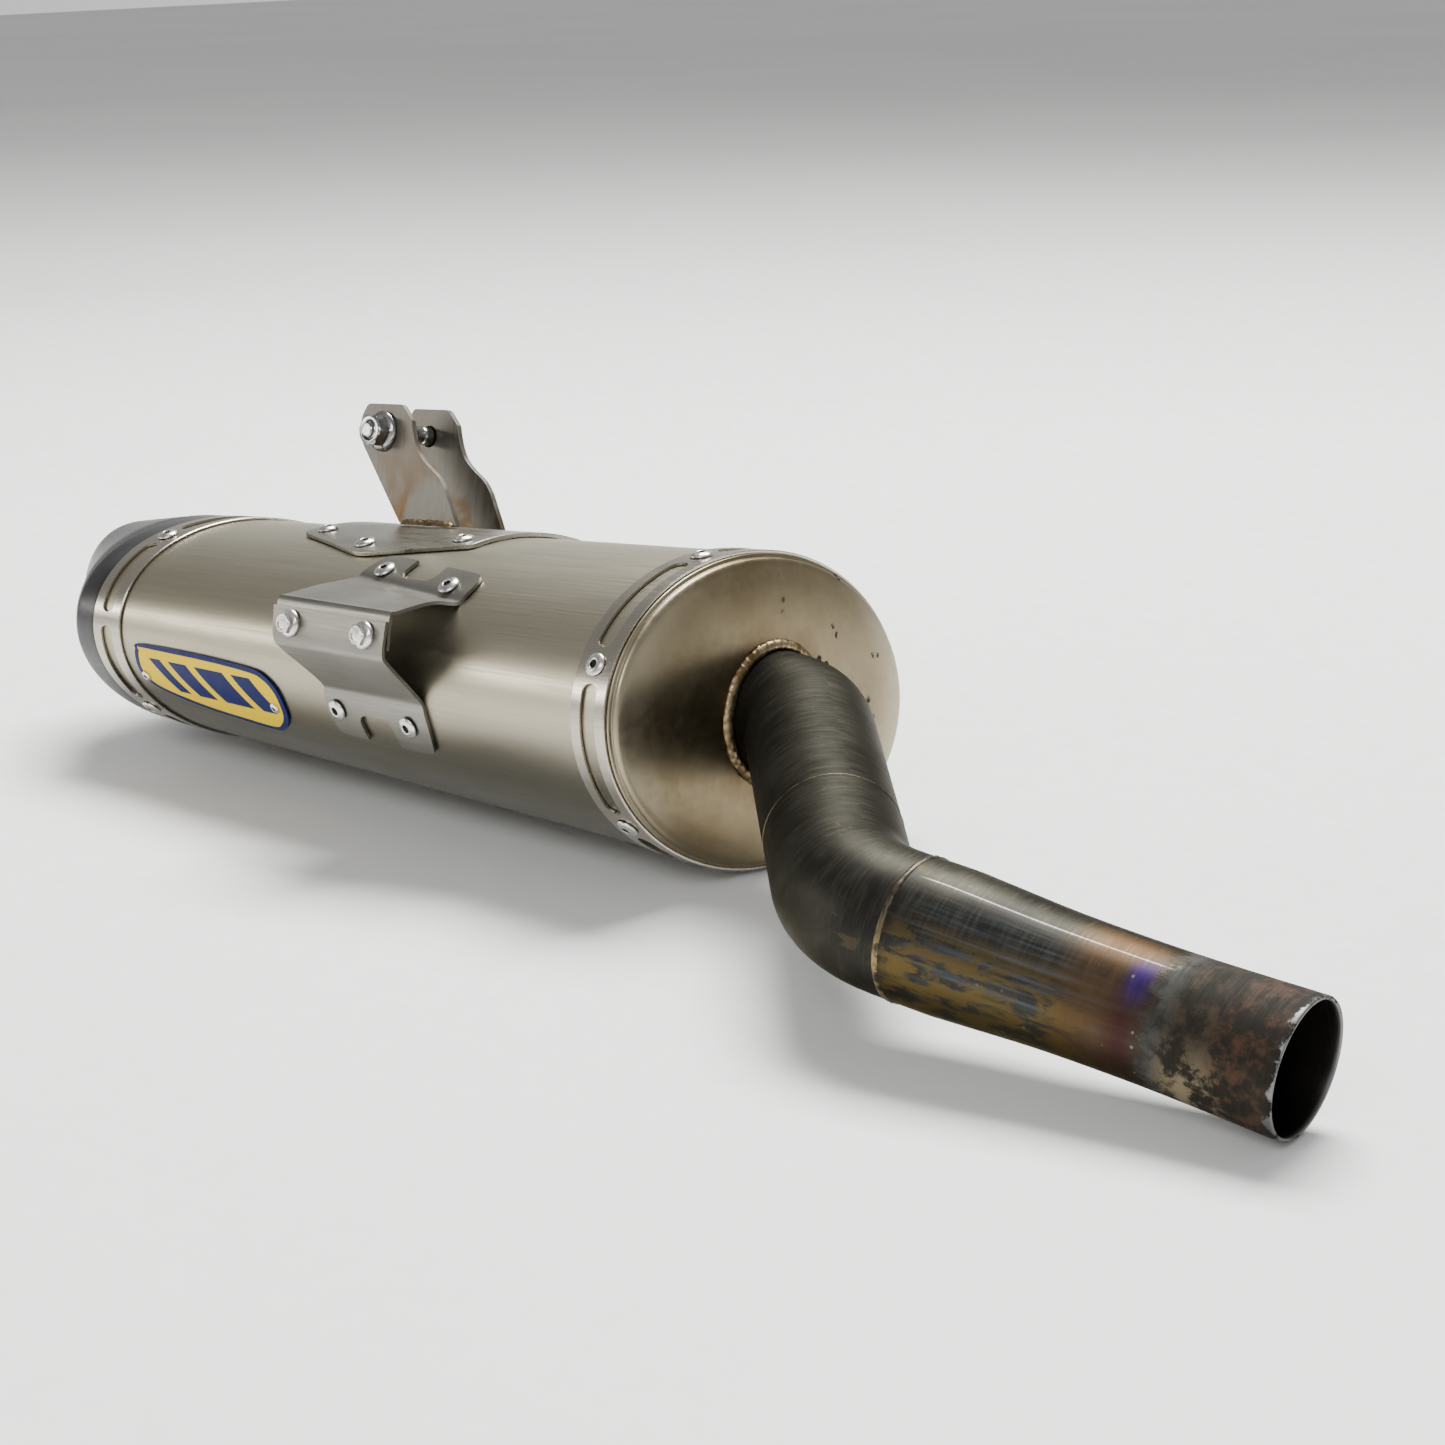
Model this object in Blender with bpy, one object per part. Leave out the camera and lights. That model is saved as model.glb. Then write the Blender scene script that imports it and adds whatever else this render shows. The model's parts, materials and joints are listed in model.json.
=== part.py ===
"""Slip-on motorcycle muffler: a tapered oval can with an S-bend inlet pipe.

Everything is modelled in the can's own frame and hangs from one empty:
  +X runs along the can towards the inlet pipe, x = 0 at the front edge of the front band,
  -Y is the side that carries the name plate and the side bracket,
  +Z is the side that carries the mounting clevis.
The empty then lays the muffler down: it rests on both bands and on the mouth of the pipe.
All lengths below are millimetres and are turned into metres where the meshes are made.
"""
import math

import bmesh
import bpy
from mathutils import Matrix, Vector

for existing in list(bpy.data.objects):
    bpy.data.objects.remove(existing, do_unlink=True)

MM = 0.001
GAP = 0.3

# Can: an elliptical section that shrinks evenly from front to rear (half sizes over the bands).
CAN_LENGTH = 330.5
FRONT_HALF_WIDTH = 86.5
FRONT_HALF_HEIGHT = 64.0
REAR_HALF_WIDTH = 83.0
REAR_HALF_HEIGHT = 50.5
OVAL_SEGMENTS = 60
ROUND_SEGMENTS = 28

# Sheets of the can, nested from the band inwards.
SHEET = 1.0
FRONT_BAND_WIDTH = 18.5
REAR_BAND_WIDTH = 20.0
SLOT_WIDTH = 8.0
SLEEVE_INSET = SHEET + GAP
CAP_INSET = SLEEVE_INSET + SHEET + GAP
CAP_SHEET = 1.2
CAP_FACE = 8.6
SKIRT_DEPTH = 24.0
TAIL_SHEET = 1.8
BULKHEAD_INSET = CAP_INSET + TAIL_SHEET + GAP
BULKHEAD_STAND_OFF = 3.0

# Tail: a collar as wide as the can, then a cone to a slanted oval mouth.
COLLAR_LENGTH = 14.0
TAIL_LENGTH = 56.5
MOUTH_HALF_WIDTH = 46.5
MOUTH_HALF_HEIGHT = 42.0
MOUTH_SLANT = 0.47

# Pipe: corners of its centre line, with a round bend at each inner corner.
# The bore necks down after the second bend and opens again towards the slip joint's mouth.
PIPE_RADIUS = 25.4
PIPE_WALL = 1.5
PIPE_CORNERS = ((-6.0, 0.0, 0.0), (25.3, 0.0, 0.0), (147.0, -108.0, -50.0), (316.5, -84.0, -73.1))
BEND_RADII = (44.0, 44.0)
ELBOW_END = 144.0
BEND_END = 224.0
NECK = ((240.0, PIPE_RADIUS), (256.0, 24.5), (284.0, 23.1), (324.0, 22.8), (370.0, 23.9))

# Insides: a perforated straight-through core in glass wool, and a tail spout.
CORE_RADIUS = 27.2
CORE_WALL = 1.2
CORE_OVERHANG = 3.0
CORE_HOLE_RADIUS = 4.0
CORE_HOLE_ROWS = 3
CORE_HOLE_PITCH = 88.0
PACKING_INSET = 8.5
SPOUT_RADIUS = CORE_RADIUS + GAP + CORE_WALL
SPOUT_LENGTH = 46.0
SPOUT_SLANT = 0.40
TAIL_PLATE_SHARE = 0.5

# Mounting clevis: two ears swept backwards, welded to a riveted saddle plate.
EAR_GAP = 24.4
EAR_SHEET = 2.5
EAR_FOOT = (-208.0, -171.0)
BOLT_PLACE = (-224.5, 95.5)
BOLT_RADIUS = 4.0
BOLT_HOLE_RADIUS = 4.7
SADDLE_SHEET = 2.0
SADDLE_REAR = -240.0
SADDLE_FRONT = -131.0
SADDLE_SQUARE_ANGLE = 29.0
SADDLE_TIP_ANGLE = 41.0
SADDLE_TIP_SHARE = 0.93
SADDLE_RIVETS = ((-230.0, 25.0), (-190.0, 34.5), (-142.0, 25.0))

# Side bracket: a riveted front sheet and a riveted top sheet, bolted where they overlap.
BRACKET_SHEET = 1.5
BRACKET_FACE_Y = -105.0
BRACKET_BOLTS = (-164.7, -118.7)
BRACKET_BOLT_Z = 13.5
BRACKET_RIVETS = ((-160.5, 201.0), (-116.0, 202.0), (-156.5, 139.5), (-111.5, 144.0))
BRACKET_TWIST = 6.0
M6_RADIUS = 3.0
M6_HOLE_RADIUS = 3.4

# Name plate: blank, on the near side.
PLATE_CENTRE = -250.5
PLATE_HALF_LENGTH = 51.0
PLATE_ANGLES = (190.5, 219.5)
PLATE_RIVETS = ((-298.0, 206.0), (-207.5, 208.0))
PLATE_THICKNESS = 0.9

# Rivets: the angle runs round the oval from +Y over the top, in degrees.
FRONT_RIVET_X = -9.2
REAR_RIVET_X = -320.5
FRONT_RIVET_ANGLES = (13.5, 68.0, 112.0, 166.5, 228.0, 312.0)
REAR_RIVET_ANGLES = (50.0, 130.0, 230.0, 310.0)
REAR_BRIDGE_ANGLES = (0.0, 90.0, 180.0, 270.0)
SLOT_MARGIN = 6.5
BRIDGE_MARGIN = 3.5
RIVET_HEAD = 4.7
RIVET_SHANK = 2.3
RIVET_HOLE = 2.8
RIVET_SEGMENTS = 8
PLATE_RIVET_SCALE = 0.55

# How the muffler lies: rolled about its length and raised a little at the front.
ROLL = math.radians(-12.85)
TILT = math.radians(-2.2)


def material(name, colour, roughness, metallic):
    mat = bpy.data.materials.new(name)
    mat.use_nodes = True
    shader = mat.node_tree.nodes["Principled BSDF"]
    shader.inputs["Base Color"].default_value = (*colour, 1.0)
    shader.inputs["Roughness"].default_value = roughness
    shader.inputs["Metallic"].default_value = metallic
    mat.diffuse_color = (*colour, 1.0)
    return mat


def add_object(name, bm, mat, smooth_angle=35.0):
    """Turn a bmesh in millimetres into a named object in metres, hung from the can's empty."""
    bmesh.ops.scale(bm, vec=(MM, MM, MM), verts=bm.verts)
    bmesh.ops.recalc_face_normals(bm, faces=bm.faces)
    mesh = bpy.data.meshes.new(name)
    bm.to_mesh(mesh)
    bm.free()
    mesh.materials.append(mat)
    mesh.shade_smooth()
    mesh.set_sharp_from_angle(angle=math.radians(smooth_angle))
    obj = bpy.data.objects.new(name, mesh)
    bpy.context.collection.objects.link(obj)
    obj.parent = bpy.data.objects["can_frame"]
    return obj


def place(obj, frame):
    """Stand an object on a frame given in millimetres."""
    obj.matrix_local = Matrix.Translation(frame.translation * MM) @ frame.to_3x3().to_4x4()
    return obj


def skin(rings, closed):
    """Skin a run of equal rings: closed joins the last to the first, open caps both ends."""
    bm = bmesh.new()
    rows = [[bm.verts.new(point) for point in ring] for ring in rings]
    pairs = list(zip(rows, rows[1:]))
    if closed:
        pairs.append((rows[-1], rows[0]))
    else:
        bm.faces.new(rows[0])
        bm.faces.new(rows[-1])
    count = len(rows[0])
    for first, second in pairs:
        for i in range(count):
            j = (i + 1) % count
            bm.faces.new((first[i], first[j], second[j], second[i]))
    return bm


def sheet(rows, lift):
    """A sheet from rows of points: lift(row, column) gives the far skin's point; the rim joins them."""
    bm = bmesh.new()
    last_row = len(rows) - 1
    last_col = len(rows[0]) - 1
    near = [[bm.verts.new(point) for point in row] for row in rows]
    far = [[bm.verts.new(lift(r, c)) for c in range(last_col + 1)] for r in range(last_row + 1)]
    for grid in (near, far):
        for r in range(last_row):
            for c in range(last_col):
                bm.faces.new((grid[r][c], grid[r][c + 1], grid[r + 1][c + 1], grid[r + 1][c]))
    rim = [(0, c) for c in range(last_col)]
    rim += [(r, last_col) for r in range(last_row)]
    rim += [(last_row, c) for c in range(last_col, 0, -1)]
    rim += [(r, 0) for r in range(last_row, 0, -1)]
    for (r0, c0), (r1, c1) in zip(rim, rim[1:] + rim[:1]):
        bm.faces.new((near[r0][c0], near[r1][c1], far[r1][c1], far[r0][c0]))
    return bm


def turned(profile, segments=18):
    """Rings about Z from (z, radius, is_hex); a hex ring's radius is half its width across flats."""
    rings = []
    for z, radius, is_hex in profile:
        ring = []
        for i in range(segments):
            angle = math.tau * i / segments
            reach = radius
            if is_hex:
                reach = radius / math.cos(angle % (math.pi / 3) - math.pi / 6)
            ring.append((reach * math.cos(angle), reach * math.sin(angle), z))
        rings.append(ring)
    return rings


def half_sizes(x):
    """Half width and half height of the oval over the bands at a place along the can."""
    share = -x / CAN_LENGTH
    width = FRONT_HALF_WIDTH + (REAR_HALF_WIDTH - FRONT_HALF_WIDTH) * share
    height = FRONT_HALF_HEIGHT + (REAR_HALF_HEIGHT - FRONT_HALF_HEIGHT) * share
    return width, height


def on_can(x, degrees):
    width, height = half_sizes(x)
    angle = math.radians(degrees)
    return Vector((x, width * math.cos(angle), height * math.sin(angle)))


def can_normal(x, degrees):
    along = on_can(x + 1.0, degrees) - on_can(x - 1.0, degrees)
    around = on_can(x, degrees + 0.5) - on_can(x, degrees - 0.5)
    return around.cross(along).normalized()


def above_can(x, degrees, height):
    return on_can(x, degrees) + can_normal(x, degrees) * height


def can_stand(x, degrees, height):
    """Frame over the can: Z along the outward normal, X along the can towards the pipe."""
    normal = can_normal(x, degrees)
    along = Vector((1.0, 0.0, 0.0)) - normal * normal.x
    along.normalize()
    turn = Matrix((along, normal.cross(along), normal)).transposed().to_4x4()
    return Matrix.Translation(above_can(x, degrees, height)) @ turn


def oval_ring(x, width, height, slant=0.0):
    ring = []
    for i in range(OVAL_SEGMENTS):
        angle = math.tau * i / OVAL_SEGMENTS
        z = height * math.sin(angle)
        ring.append((x - slant * z, width * math.cos(angle), z))
    return ring


def round_ring(x, radius, slant=0.0):
    ring = []
    for i in range(ROUND_SEGMENTS):
        angle = math.tau * i / ROUND_SEGMENTS
        z = radius * math.sin(angle)
        ring.append((x - slant * z, radius * math.cos(angle), z))
    return ring


def can_ring(x, inset):
    width, height = half_sizes(x)
    return oval_ring(x, width - inset, height - inset)


def can_patch(rows, low, high):
    """A sheet laid on the can between two heights, from rows of (degrees, rear x, front x)."""
    def point(r, c, height):
        degrees, rear, front = rows[r]
        return above_can((rear, front)[c], degrees, height)

    base = [[point(r, c, low) for c in (0, 1)] for r in range(len(rows))]
    return sheet(base, lambda r, c: point(r, c, high))


def hide_cutter(cutter):
    cutter.hide_render = True
    cutter.display_type = "WIRE"
    return cutter


def cut(target, cutter):
    mod = target.modifiers.new("cut_" + cutter.name, "BOOLEAN")
    mod.operation = "DIFFERENCE"
    mod.solver = "EXACT"
    mod.object = cutter


def pin_cutter(name, radius, low, high, segments=12):
    rings = turned([(low, radius, False), (high, radius, False)], segments)
    return hide_cutter(add_object(name, skin(rings, False), MATERIALS["cutter"]))


def rivet(name, x, degrees, seat, grip, targets, scale=1.0):
    """Blind rivet and its holes: domed head over the seat, shank through the grip, bulb behind it."""
    head = RIVET_HEAD * scale
    shank = RIVET_SHANK * scale
    profile = [
        (0.5, 1.2 * scale, False),
        (1.7 * scale, 1.7 * scale, False),
        (1.7 * scale, 2.8 * scale, False),
        (0.0, head, False),
        (0.0, shank, False),
        (-grip, shank, False),
        (-grip - 0.9, shank * 1.3, False),
        (-grip - 2.6, shank * 0.8, False),
    ]
    frame = can_stand(x, degrees, seat + GAP)
    place(add_object(name, skin(turned(profile, RIVET_SEGMENTS), False), MATERIALS["rivet"]), frame)
    cutter = pin_cutter("drill_" + name, RIVET_HOLE * scale, -grip - 1.0, 4.0, RIVET_SEGMENTS)
    drill = place(cutter, frame)
    for target in targets:
        cut(bpy.data.objects[target], drill)


def filleted_path(corners, radii, steps=6):
    """Centre line through the corners: each inner corner becomes an arc."""
    points = [Vector(corners[0])]
    for before, corner, after, radius in zip(corners, corners[1:], corners[2:], radii):
        here = Vector(corner)
        back = (Vector(before) - here).normalized()
        ahead = (Vector(after) - here).normalized()
        half = back.angle(ahead) / 2
        centre = here + (back + ahead).normalized() * radius / math.sin(half)
        start = here + back * radius / math.tan(half) - centre
        end = here + ahead * radius / math.tan(half) - centre
        sweep = start.angle(end)
        for k in range(steps + 1):
            share = k / steps
            arm = start * math.sin((1 - share) * sweep) + end * math.sin(share * sweep)
            points.append(centre + arm / math.sin(sweep))
    points.append(Vector(corners[-1]))
    return points


def stations_between(path, start, end):
    """(distance, point) along a path from start to end, with a station at each neck size as well."""
    targets = [start, end] + [distance for distance, _ in NECK if start + 0.5 < distance < end - 0.5]
    kept = []
    travelled = 0.0
    for first, second in zip(path, path[1:]):
        step = (second - first).length
        for target in targets:
            if travelled <= target < travelled + step:
                kept.append((target, first.lerp(second, (target - travelled) / step)))
        travelled += step
        if start + 0.5 < travelled < end - 0.5:
            kept.append((travelled, second))
    if end >= travelled:
        kept.append((travelled, path[-1]))
    kept.sort(key=lambda item: item[0])
    return kept


def pipe_radius(distance):
    """Outer radius at a distance along the pipe."""
    for (low, before), (high, after) in zip(NECK, NECK[1:]):
        if low <= distance <= high:
            return before + (after - before) * (distance - low) / (high - low)
    return NECK[0][1] if distance < NECK[0][0] else NECK[-1][1]


def pipe_rings(stations, inset):
    rings = []
    side = Vector((0.0, 0.0, 1.0))
    points = [point for _, point in stations]
    for i, (distance, point) in enumerate(stations):
        radius = pipe_radius(distance) - inset
        ahead = points[min(i + 1, len(points) - 1)] - points[max(i - 1, 0)]
        ahead.normalize()
        side = (side - ahead * side.dot(ahead)).normalized()
        other = ahead.cross(side)
        ring = []
        for k in range(ROUND_SEGMENTS):
            angle = math.tau * k / ROUND_SEGMENTS
            ring.append(point + radius * (side * math.cos(angle) + other * math.sin(angle)))
        rings.append(ring)
    return rings


def make_pipe():
    """Elbow, second bend, necked straight run and slip-joint end, butted together."""
    path = filleted_path(PIPE_CORNERS, BEND_RADII)
    total = sum((b - a).length for a, b in zip(path, path[1:]))
    stops = (0.0, ELBOW_END, BEND_END, NECK[-2][0], total)
    names = ("pipe_elbow", "pipe_second_bend", "pipe_straight", "pipe_slip_end")
    for name, start, end in zip(names, stops, stops[1:]):
        stations = stations_between(path, start + GAP, end)
        rings = pipe_rings(stations, 0.0) + pipe_rings(stations, PIPE_WALL)[::-1]
        add_object(name, skin(rings, True), MATERIALS["pipe"])


def make_pipe_weld():
    """Weld bead on the cap round the pipe."""
    face = CAP_FACE + GAP
    inner = PIPE_RADIUS + 0.9
    profile = ((face, inner), (face, 30.2), (face + 1.3, 29.8), (face + 2.4, 28.4),
               (face + 2.2, 27.1), (face + 1.2, inner))
    rings = [round_ring(x, radius) for x, radius in profile]
    add_object("pipe_weld", skin(rings, True), MATERIALS["weld"])


def make_inlet_cap():
    """Front cap: skirt inside the sleeve, beaded rim, rolled shoulder, shallow dome with the pipe hole."""
    width, height = half_sizes(0.0)
    hole = PIPE_RADIUS + GAP

    def dome(x, reach):
        """An oval that turns from the can's section into the round pipe hole as the reach grows."""
        share = reach / (width - hole)
        return oval_ring(x, width - reach, height - (height - hole) * share)

    rings = [
        can_ring(-SKIRT_DEPTH, CAP_INSET),
        can_ring(-0.8, CAP_INSET),
        can_ring(-0.4, 1.4),
        can_ring(1.2, 1.5),
        can_ring(1.4, 2.6),
        can_ring(2.9, 3.0),
        can_ring(4.0, 4.6),
        dome(4.9, 8.0),
        dome(6.9, 20.0),
        dome(CAP_FACE, 44.0),
        dome(CAP_FACE, width - hole),
        dome(CAP_FACE - CAP_SHEET, width - hole),
        dome(6.4, 30.0),
        dome(3.0, 8.0),
        can_ring(0.2, CAP_INSET + CAP_SHEET),
        can_ring(-SKIRT_DEPTH, CAP_INSET + CAP_SHEET),
    ]
    add_object("inlet_cap", skin(rings, True), MATERIALS["cap"])


def make_wall(name, rear, front, inset, mat):
    rings = [can_ring(rear, inset), can_ring(front, inset),
             can_ring(front, inset + SHEET), can_ring(rear, inset + SHEET)]
    return add_object(name, skin(rings, True), MATERIALS[mat])


def slot_rows(start, end, middle):
    """Rows of a round-ended slot that runs round the can between two angles in degrees."""
    half = SLOT_WIDTH / 2
    end_degrees = math.degrees(half / (FRONT_HALF_WIDTH * 0.85))
    blunt = 0.38
    ends = []
    for k in range(3):
        turn = blunt + (math.pi / 2 - blunt) * k / 2
        ends.append((end_degrees * (1 - math.cos(turn)), half * math.sin(turn)))
    rows = [(start + inward, middle - reach, middle + reach) for inward, reach in ends]
    steps = max(2, round((end - start) / 6.0) - 1)
    for k in range(1, steps):
        degrees = start + end_degrees + (end - start - 2 * end_degrees) * k / steps
        rows.append((degrees, middle - half, middle + half))
    rows += [(end - inward, middle - reach, middle + reach) for inward, reach in reversed(ends)]
    return rows


def cut_slots(band, rivets, bridges, middle):
    """Cut a slot between each neighbouring pair of rivets or plain bridges."""
    stops = [(degrees, SLOT_MARGIN) for degrees in rivets]
    stops += [(degrees, BRIDGE_MARGIN) for degrees in bridges]
    stops.sort()
    stops.append((stops[0][0] + 360.0, stops[0][1]))
    for number, (first, second) in enumerate(zip(stops, stops[1:])):
        rows = slot_rows(first[0] + first[1], second[0] - second[1], middle)
        cutter = add_object(f"slot_{band.name}_{number}", can_patch(rows, -2.5, 2.0), MATERIALS["cutter"])
        cut(band, hide_cutter(cutter))


def make_can():
    rear = -CAN_LENGTH
    make_wall("sleeve", rear + 2.0, -2.0, SLEEVE_INSET, "sleeve")
    front_band = make_wall("front_band", -FRONT_BAND_WIDTH, 0.0, 0.0, "band")
    rear_band = make_wall("rear_band", rear, rear + REAR_BAND_WIDTH, 0.0, "band")
    cut_slots(front_band, FRONT_RIVET_ANGLES, (), FRONT_RIVET_X)
    cut_slots(rear_band, REAR_RIVET_ANGLES, REAR_BRIDGE_ANGLES, REAR_RIVET_X)
    stack = CAP_INSET + CAP_SHEET + 2 * GAP
    for k, degrees in enumerate(FRONT_RIVET_ANGLES):
        rivet(f"front_rivet_{k}", FRONT_RIVET_X, degrees, 0.0, stack, ("front_band", "sleeve", "inlet_cap"))
    stack = BULKHEAD_INSET + CAP_SHEET + 2 * GAP
    targets = ("rear_band", "sleeve", "tail_cap", "rear_bulkhead")
    for k, degrees in enumerate(REAR_RIVET_ANGLES):
        rivet(f"rear_rivet_{k}", REAR_RIVET_X, degrees, 0.0, stack, targets)


def tail_ring(share, inset):
    """Section of the tail cone: share 0 at the collar's end, 1 at the mouth."""
    collar = -CAN_LENGTH - COLLAR_LENGTH
    width, height = half_sizes(collar)
    x = collar - (TAIL_LENGTH - COLLAR_LENGTH) * share
    half_width = width + (MOUTH_HALF_WIDTH - width) * share - inset
    half_height = height + (MOUTH_HALF_HEIGHT - height) * share - inset
    return oval_ring(x, half_width, half_height, MOUTH_SLANT * share)


def make_tail_cap():
    """Rear cap: spigot inside the sleeve, collar flush with the band, cone to a slanted mouth."""
    rear = -CAN_LENGTH
    spigot_end = rear + REAR_BAND_WIDTH + 1.0
    spigot_inside = CAP_INSET + TAIL_SHEET
    rings = [
        can_ring(spigot_end, CAP_INSET),
        can_ring(rear - GAP, CAP_INSET),
        can_ring(rear - GAP, 0.9),
        can_ring(rear - 1.0, 0.4),
        can_ring(rear - COLLAR_LENGTH + 0.8, 0.4),
        tail_ring(0.01, 1.0),
        tail_ring(0.5, 0.0),
        tail_ring(0.97, 0.0),
        tail_ring(1.0, 0.5),
        tail_ring(1.0, TAIL_SHEET),
        tail_ring(0.5, TAIL_SHEET),
        tail_ring(0.08, TAIL_SHEET + 2.2),
        can_ring(rear - 2.0, spigot_inside),
        can_ring(spigot_end, spigot_inside),
    ]
    add_object("tail_cap", skin(rings, True), MATERIALS["tail"])


def make_tube(name, rear, front, radius, slant, mat):
    bore = radius - CORE_WALL
    rings = [round_ring(rear, radius, slant), round_ring(front, radius), round_ring(front, bore),
             round_ring(rear, bore, slant)]
    return add_object(name, skin(rings, True), MATERIALS[mat])


def make_insides():
    """Bulkhead, perforated core, glass wool, tail spout and the plate that closes round it."""
    rear = -CAN_LENGTH
    face = rear + BULKHEAD_STAND_OFF
    lip = rear + REAR_BAND_WIDTH
    hole = CORE_RADIUS + GAP
    rings = [
        can_ring(lip, BULKHEAD_INSET),
        can_ring(face, BULKHEAD_INSET),
        oval_ring(face, hole, hole),
        oval_ring(face + CAP_SHEET, hole, hole),
        can_ring(face + CAP_SHEET, BULKHEAD_INSET + CAP_SHEET),
        can_ring(lip, BULKHEAD_INSET + CAP_SHEET),
    ]
    add_object("rear_bulkhead", skin(rings, True), MATERIALS["inner"])
    core_front = CAP_FACE - CAP_SHEET - 2 * GAP
    core = make_tube("core_tube", rear - CORE_OVERHANG, core_front, CORE_RADIUS, 0.0, "inner")
    for row in range(CORE_HOLE_ROWS):
        for k in range(3):
            cutter = pin_cutter(f"core_hole_{row}_{k}", CORE_HOLE_RADIUS, -40.0, 40.0, 8)
            spin = Matrix.Rotation(math.radians(60.0 * k + 30.0 * (row % 2) + 1.3), 4, "X")
            cut(core, place(cutter, Matrix.Translation((-55.0 - CORE_HOLE_PITCH * row, 0.0, 0.0)) @ spin))
    wool_rear = lip + 4.0
    wool_front = -SKIRT_DEPTH - 3.0
    rings = [can_ring(wool_rear, PACKING_INSET), can_ring(wool_front, PACKING_INSET),
             oval_ring(wool_front, hole, hole), oval_ring(wool_rear, hole, hole)]
    add_object("packing", skin(rings, True), MATERIALS["packing"])
    make_tube("tail_spout", rear - SPOUT_LENGTH, face - GAP, SPOUT_RADIUS, SPOUT_SLANT, "inner")
    share = TAIL_PLATE_SHARE
    thick = CAP_SHEET / (TAIL_LENGTH - COLLAR_LENGTH)
    collar = rear - COLLAR_LENGTH
    reach = TAIL_LENGTH - COLLAR_LENGTH
    hole = SPOUT_RADIUS + GAP
    rings = [
        tail_ring(share, TAIL_SHEET + 2 * GAP),
        oval_ring(collar - reach * share, hole, hole, MOUTH_SLANT * share),
        oval_ring(collar - reach * (share - thick), hole, hole, MOUTH_SLANT * (share - thick)),
        tail_ring(share - thick, TAIL_SHEET + 2 * GAP),
    ]
    add_object("tail_plate", skin(rings, True), MATERIALS["tail"])


def make_name_plate():
    """Blank badge plate with rounded ends, curved to the sleeve, between two small rivets."""
    first, last = PLATE_ANGLES
    steps = 12
    rows = []
    for k in range(steps + 1):
        across = -math.cos(math.pi * k / steps)
        inward = 14.0 * (1.0 - math.sqrt(max(0.0, 1.0 - abs(across) ** 3)))
        degrees = first + (last - first) * (across + 1.0) / 2
        rows.append((degrees, PLATE_CENTRE - PLATE_HALF_LENGTH + inward,
                     PLATE_CENTRE + PLATE_HALF_LENGTH - inward))
    base = GAP - SLEEVE_INSET
    add_object("name_plate", can_patch(rows, base, base + PLATE_THICKNESS), MATERIALS["plate"])
    grip = SHEET + PLATE_THICKNESS + 3 * GAP
    for k, (x, degrees) in enumerate(PLATE_RIVETS):
        rivet(f"plate_rivet_{k}", x, degrees, base + PLATE_THICKNESS, grip, ("name_plate", "sleeve"),
              PLATE_RIVET_SCALE)


def make_saddle():
    """Saddle plate curved over the top of the sleeve, drawn out to a blunt point on each side."""
    middle = (SADDLE_REAR + SADDLE_FRONT) / 2
    square_steps = 10
    tip_step = (SADDLE_TIP_ANGLE - SADDLE_SQUARE_ANGLE) / 2
    angles = [SADDLE_SQUARE_ANGLE * (2 * k / square_steps - 1) for k in range(square_steps + 1)]
    angles = [-SADDLE_TIP_ANGLE, -SADDLE_TIP_ANGLE + tip_step] + angles
    angles += [SADDLE_TIP_ANGLE - tip_step, SADDLE_TIP_ANGLE]
    rows = []
    for off_top in angles:
        slope = (abs(off_top) - SADDLE_SQUARE_ANGLE) / (SADDLE_TIP_ANGLE - SADDLE_SQUARE_ANGLE)
        share = SADDLE_TIP_SHARE * max(0.0, slope)
        rows.append((90.0 + off_top, SADDLE_REAR + (middle - SADDLE_REAR) * share,
                     SADDLE_FRONT + (middle - SADDLE_FRONT) * share))
    base = GAP - SLEEVE_INSET
    add_object("saddle_plate", can_patch(rows, base, base + SADDLE_SHEET), MATERIALS["bracket"])
    grip = SHEET + SADDLE_SHEET + 3 * GAP
    number = 0
    for x, off_top in SADDLE_RIVETS:
        for side in (-1.0, 1.0):
            rivet(f"saddle_rivet_{number}", x, 90.0 - side * off_top, base + SADDLE_SHEET, grip,
                  ("saddle_plate", "sleeve"))
            number += 1


def ear_floor(x, y):
    """Height at which something at (x, y) just clears the saddle."""
    width, height = half_sizes(x)
    lift = GAP - SLEEVE_INSET + SADDLE_SHEET + GAP
    return (height + lift) * math.sqrt(1.0 - (y / (width + lift)) ** 2)


def ear_outline(side):
    """Side view of an ear as (x, z): wide foot, swept back, chamfered top."""
    rear_foot, front_foot = EAR_FOOT
    inner = side * EAR_GAP / 2
    outer = inner + side * EAR_SHEET

    def foot(x):
        return (x, max(ear_floor(x, inner), ear_floor(x, outer)))

    return [
        foot(rear_foot),
        foot((rear_foot + front_foot) / 2),
        foot(front_foot),
        (-181.0, 73.5),
        (-186.0, 78.6),
        (-193.0, 82.5),
        (-199.0, 86.8),
        (-202.5, 91.5),
        (-205.0, 97.0),
        (-206.5, 101.5),
        (-213.5, 108.0),
        (-236.5, 107.2),
        (-240.0, 101.5),
        (-240.0, 95.5),
        (-238.0, 89.5),
    ]


def bolt_axis_frame(y, facing):
    """Frame on the clevis bolt's axis: Z towards the side that facing names."""
    x, z = BOLT_PLACE
    turn = Matrix.Rotation(-facing * math.pi / 2, 4, "X")
    return Matrix.Translation((x, y, z)) @ turn


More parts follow.
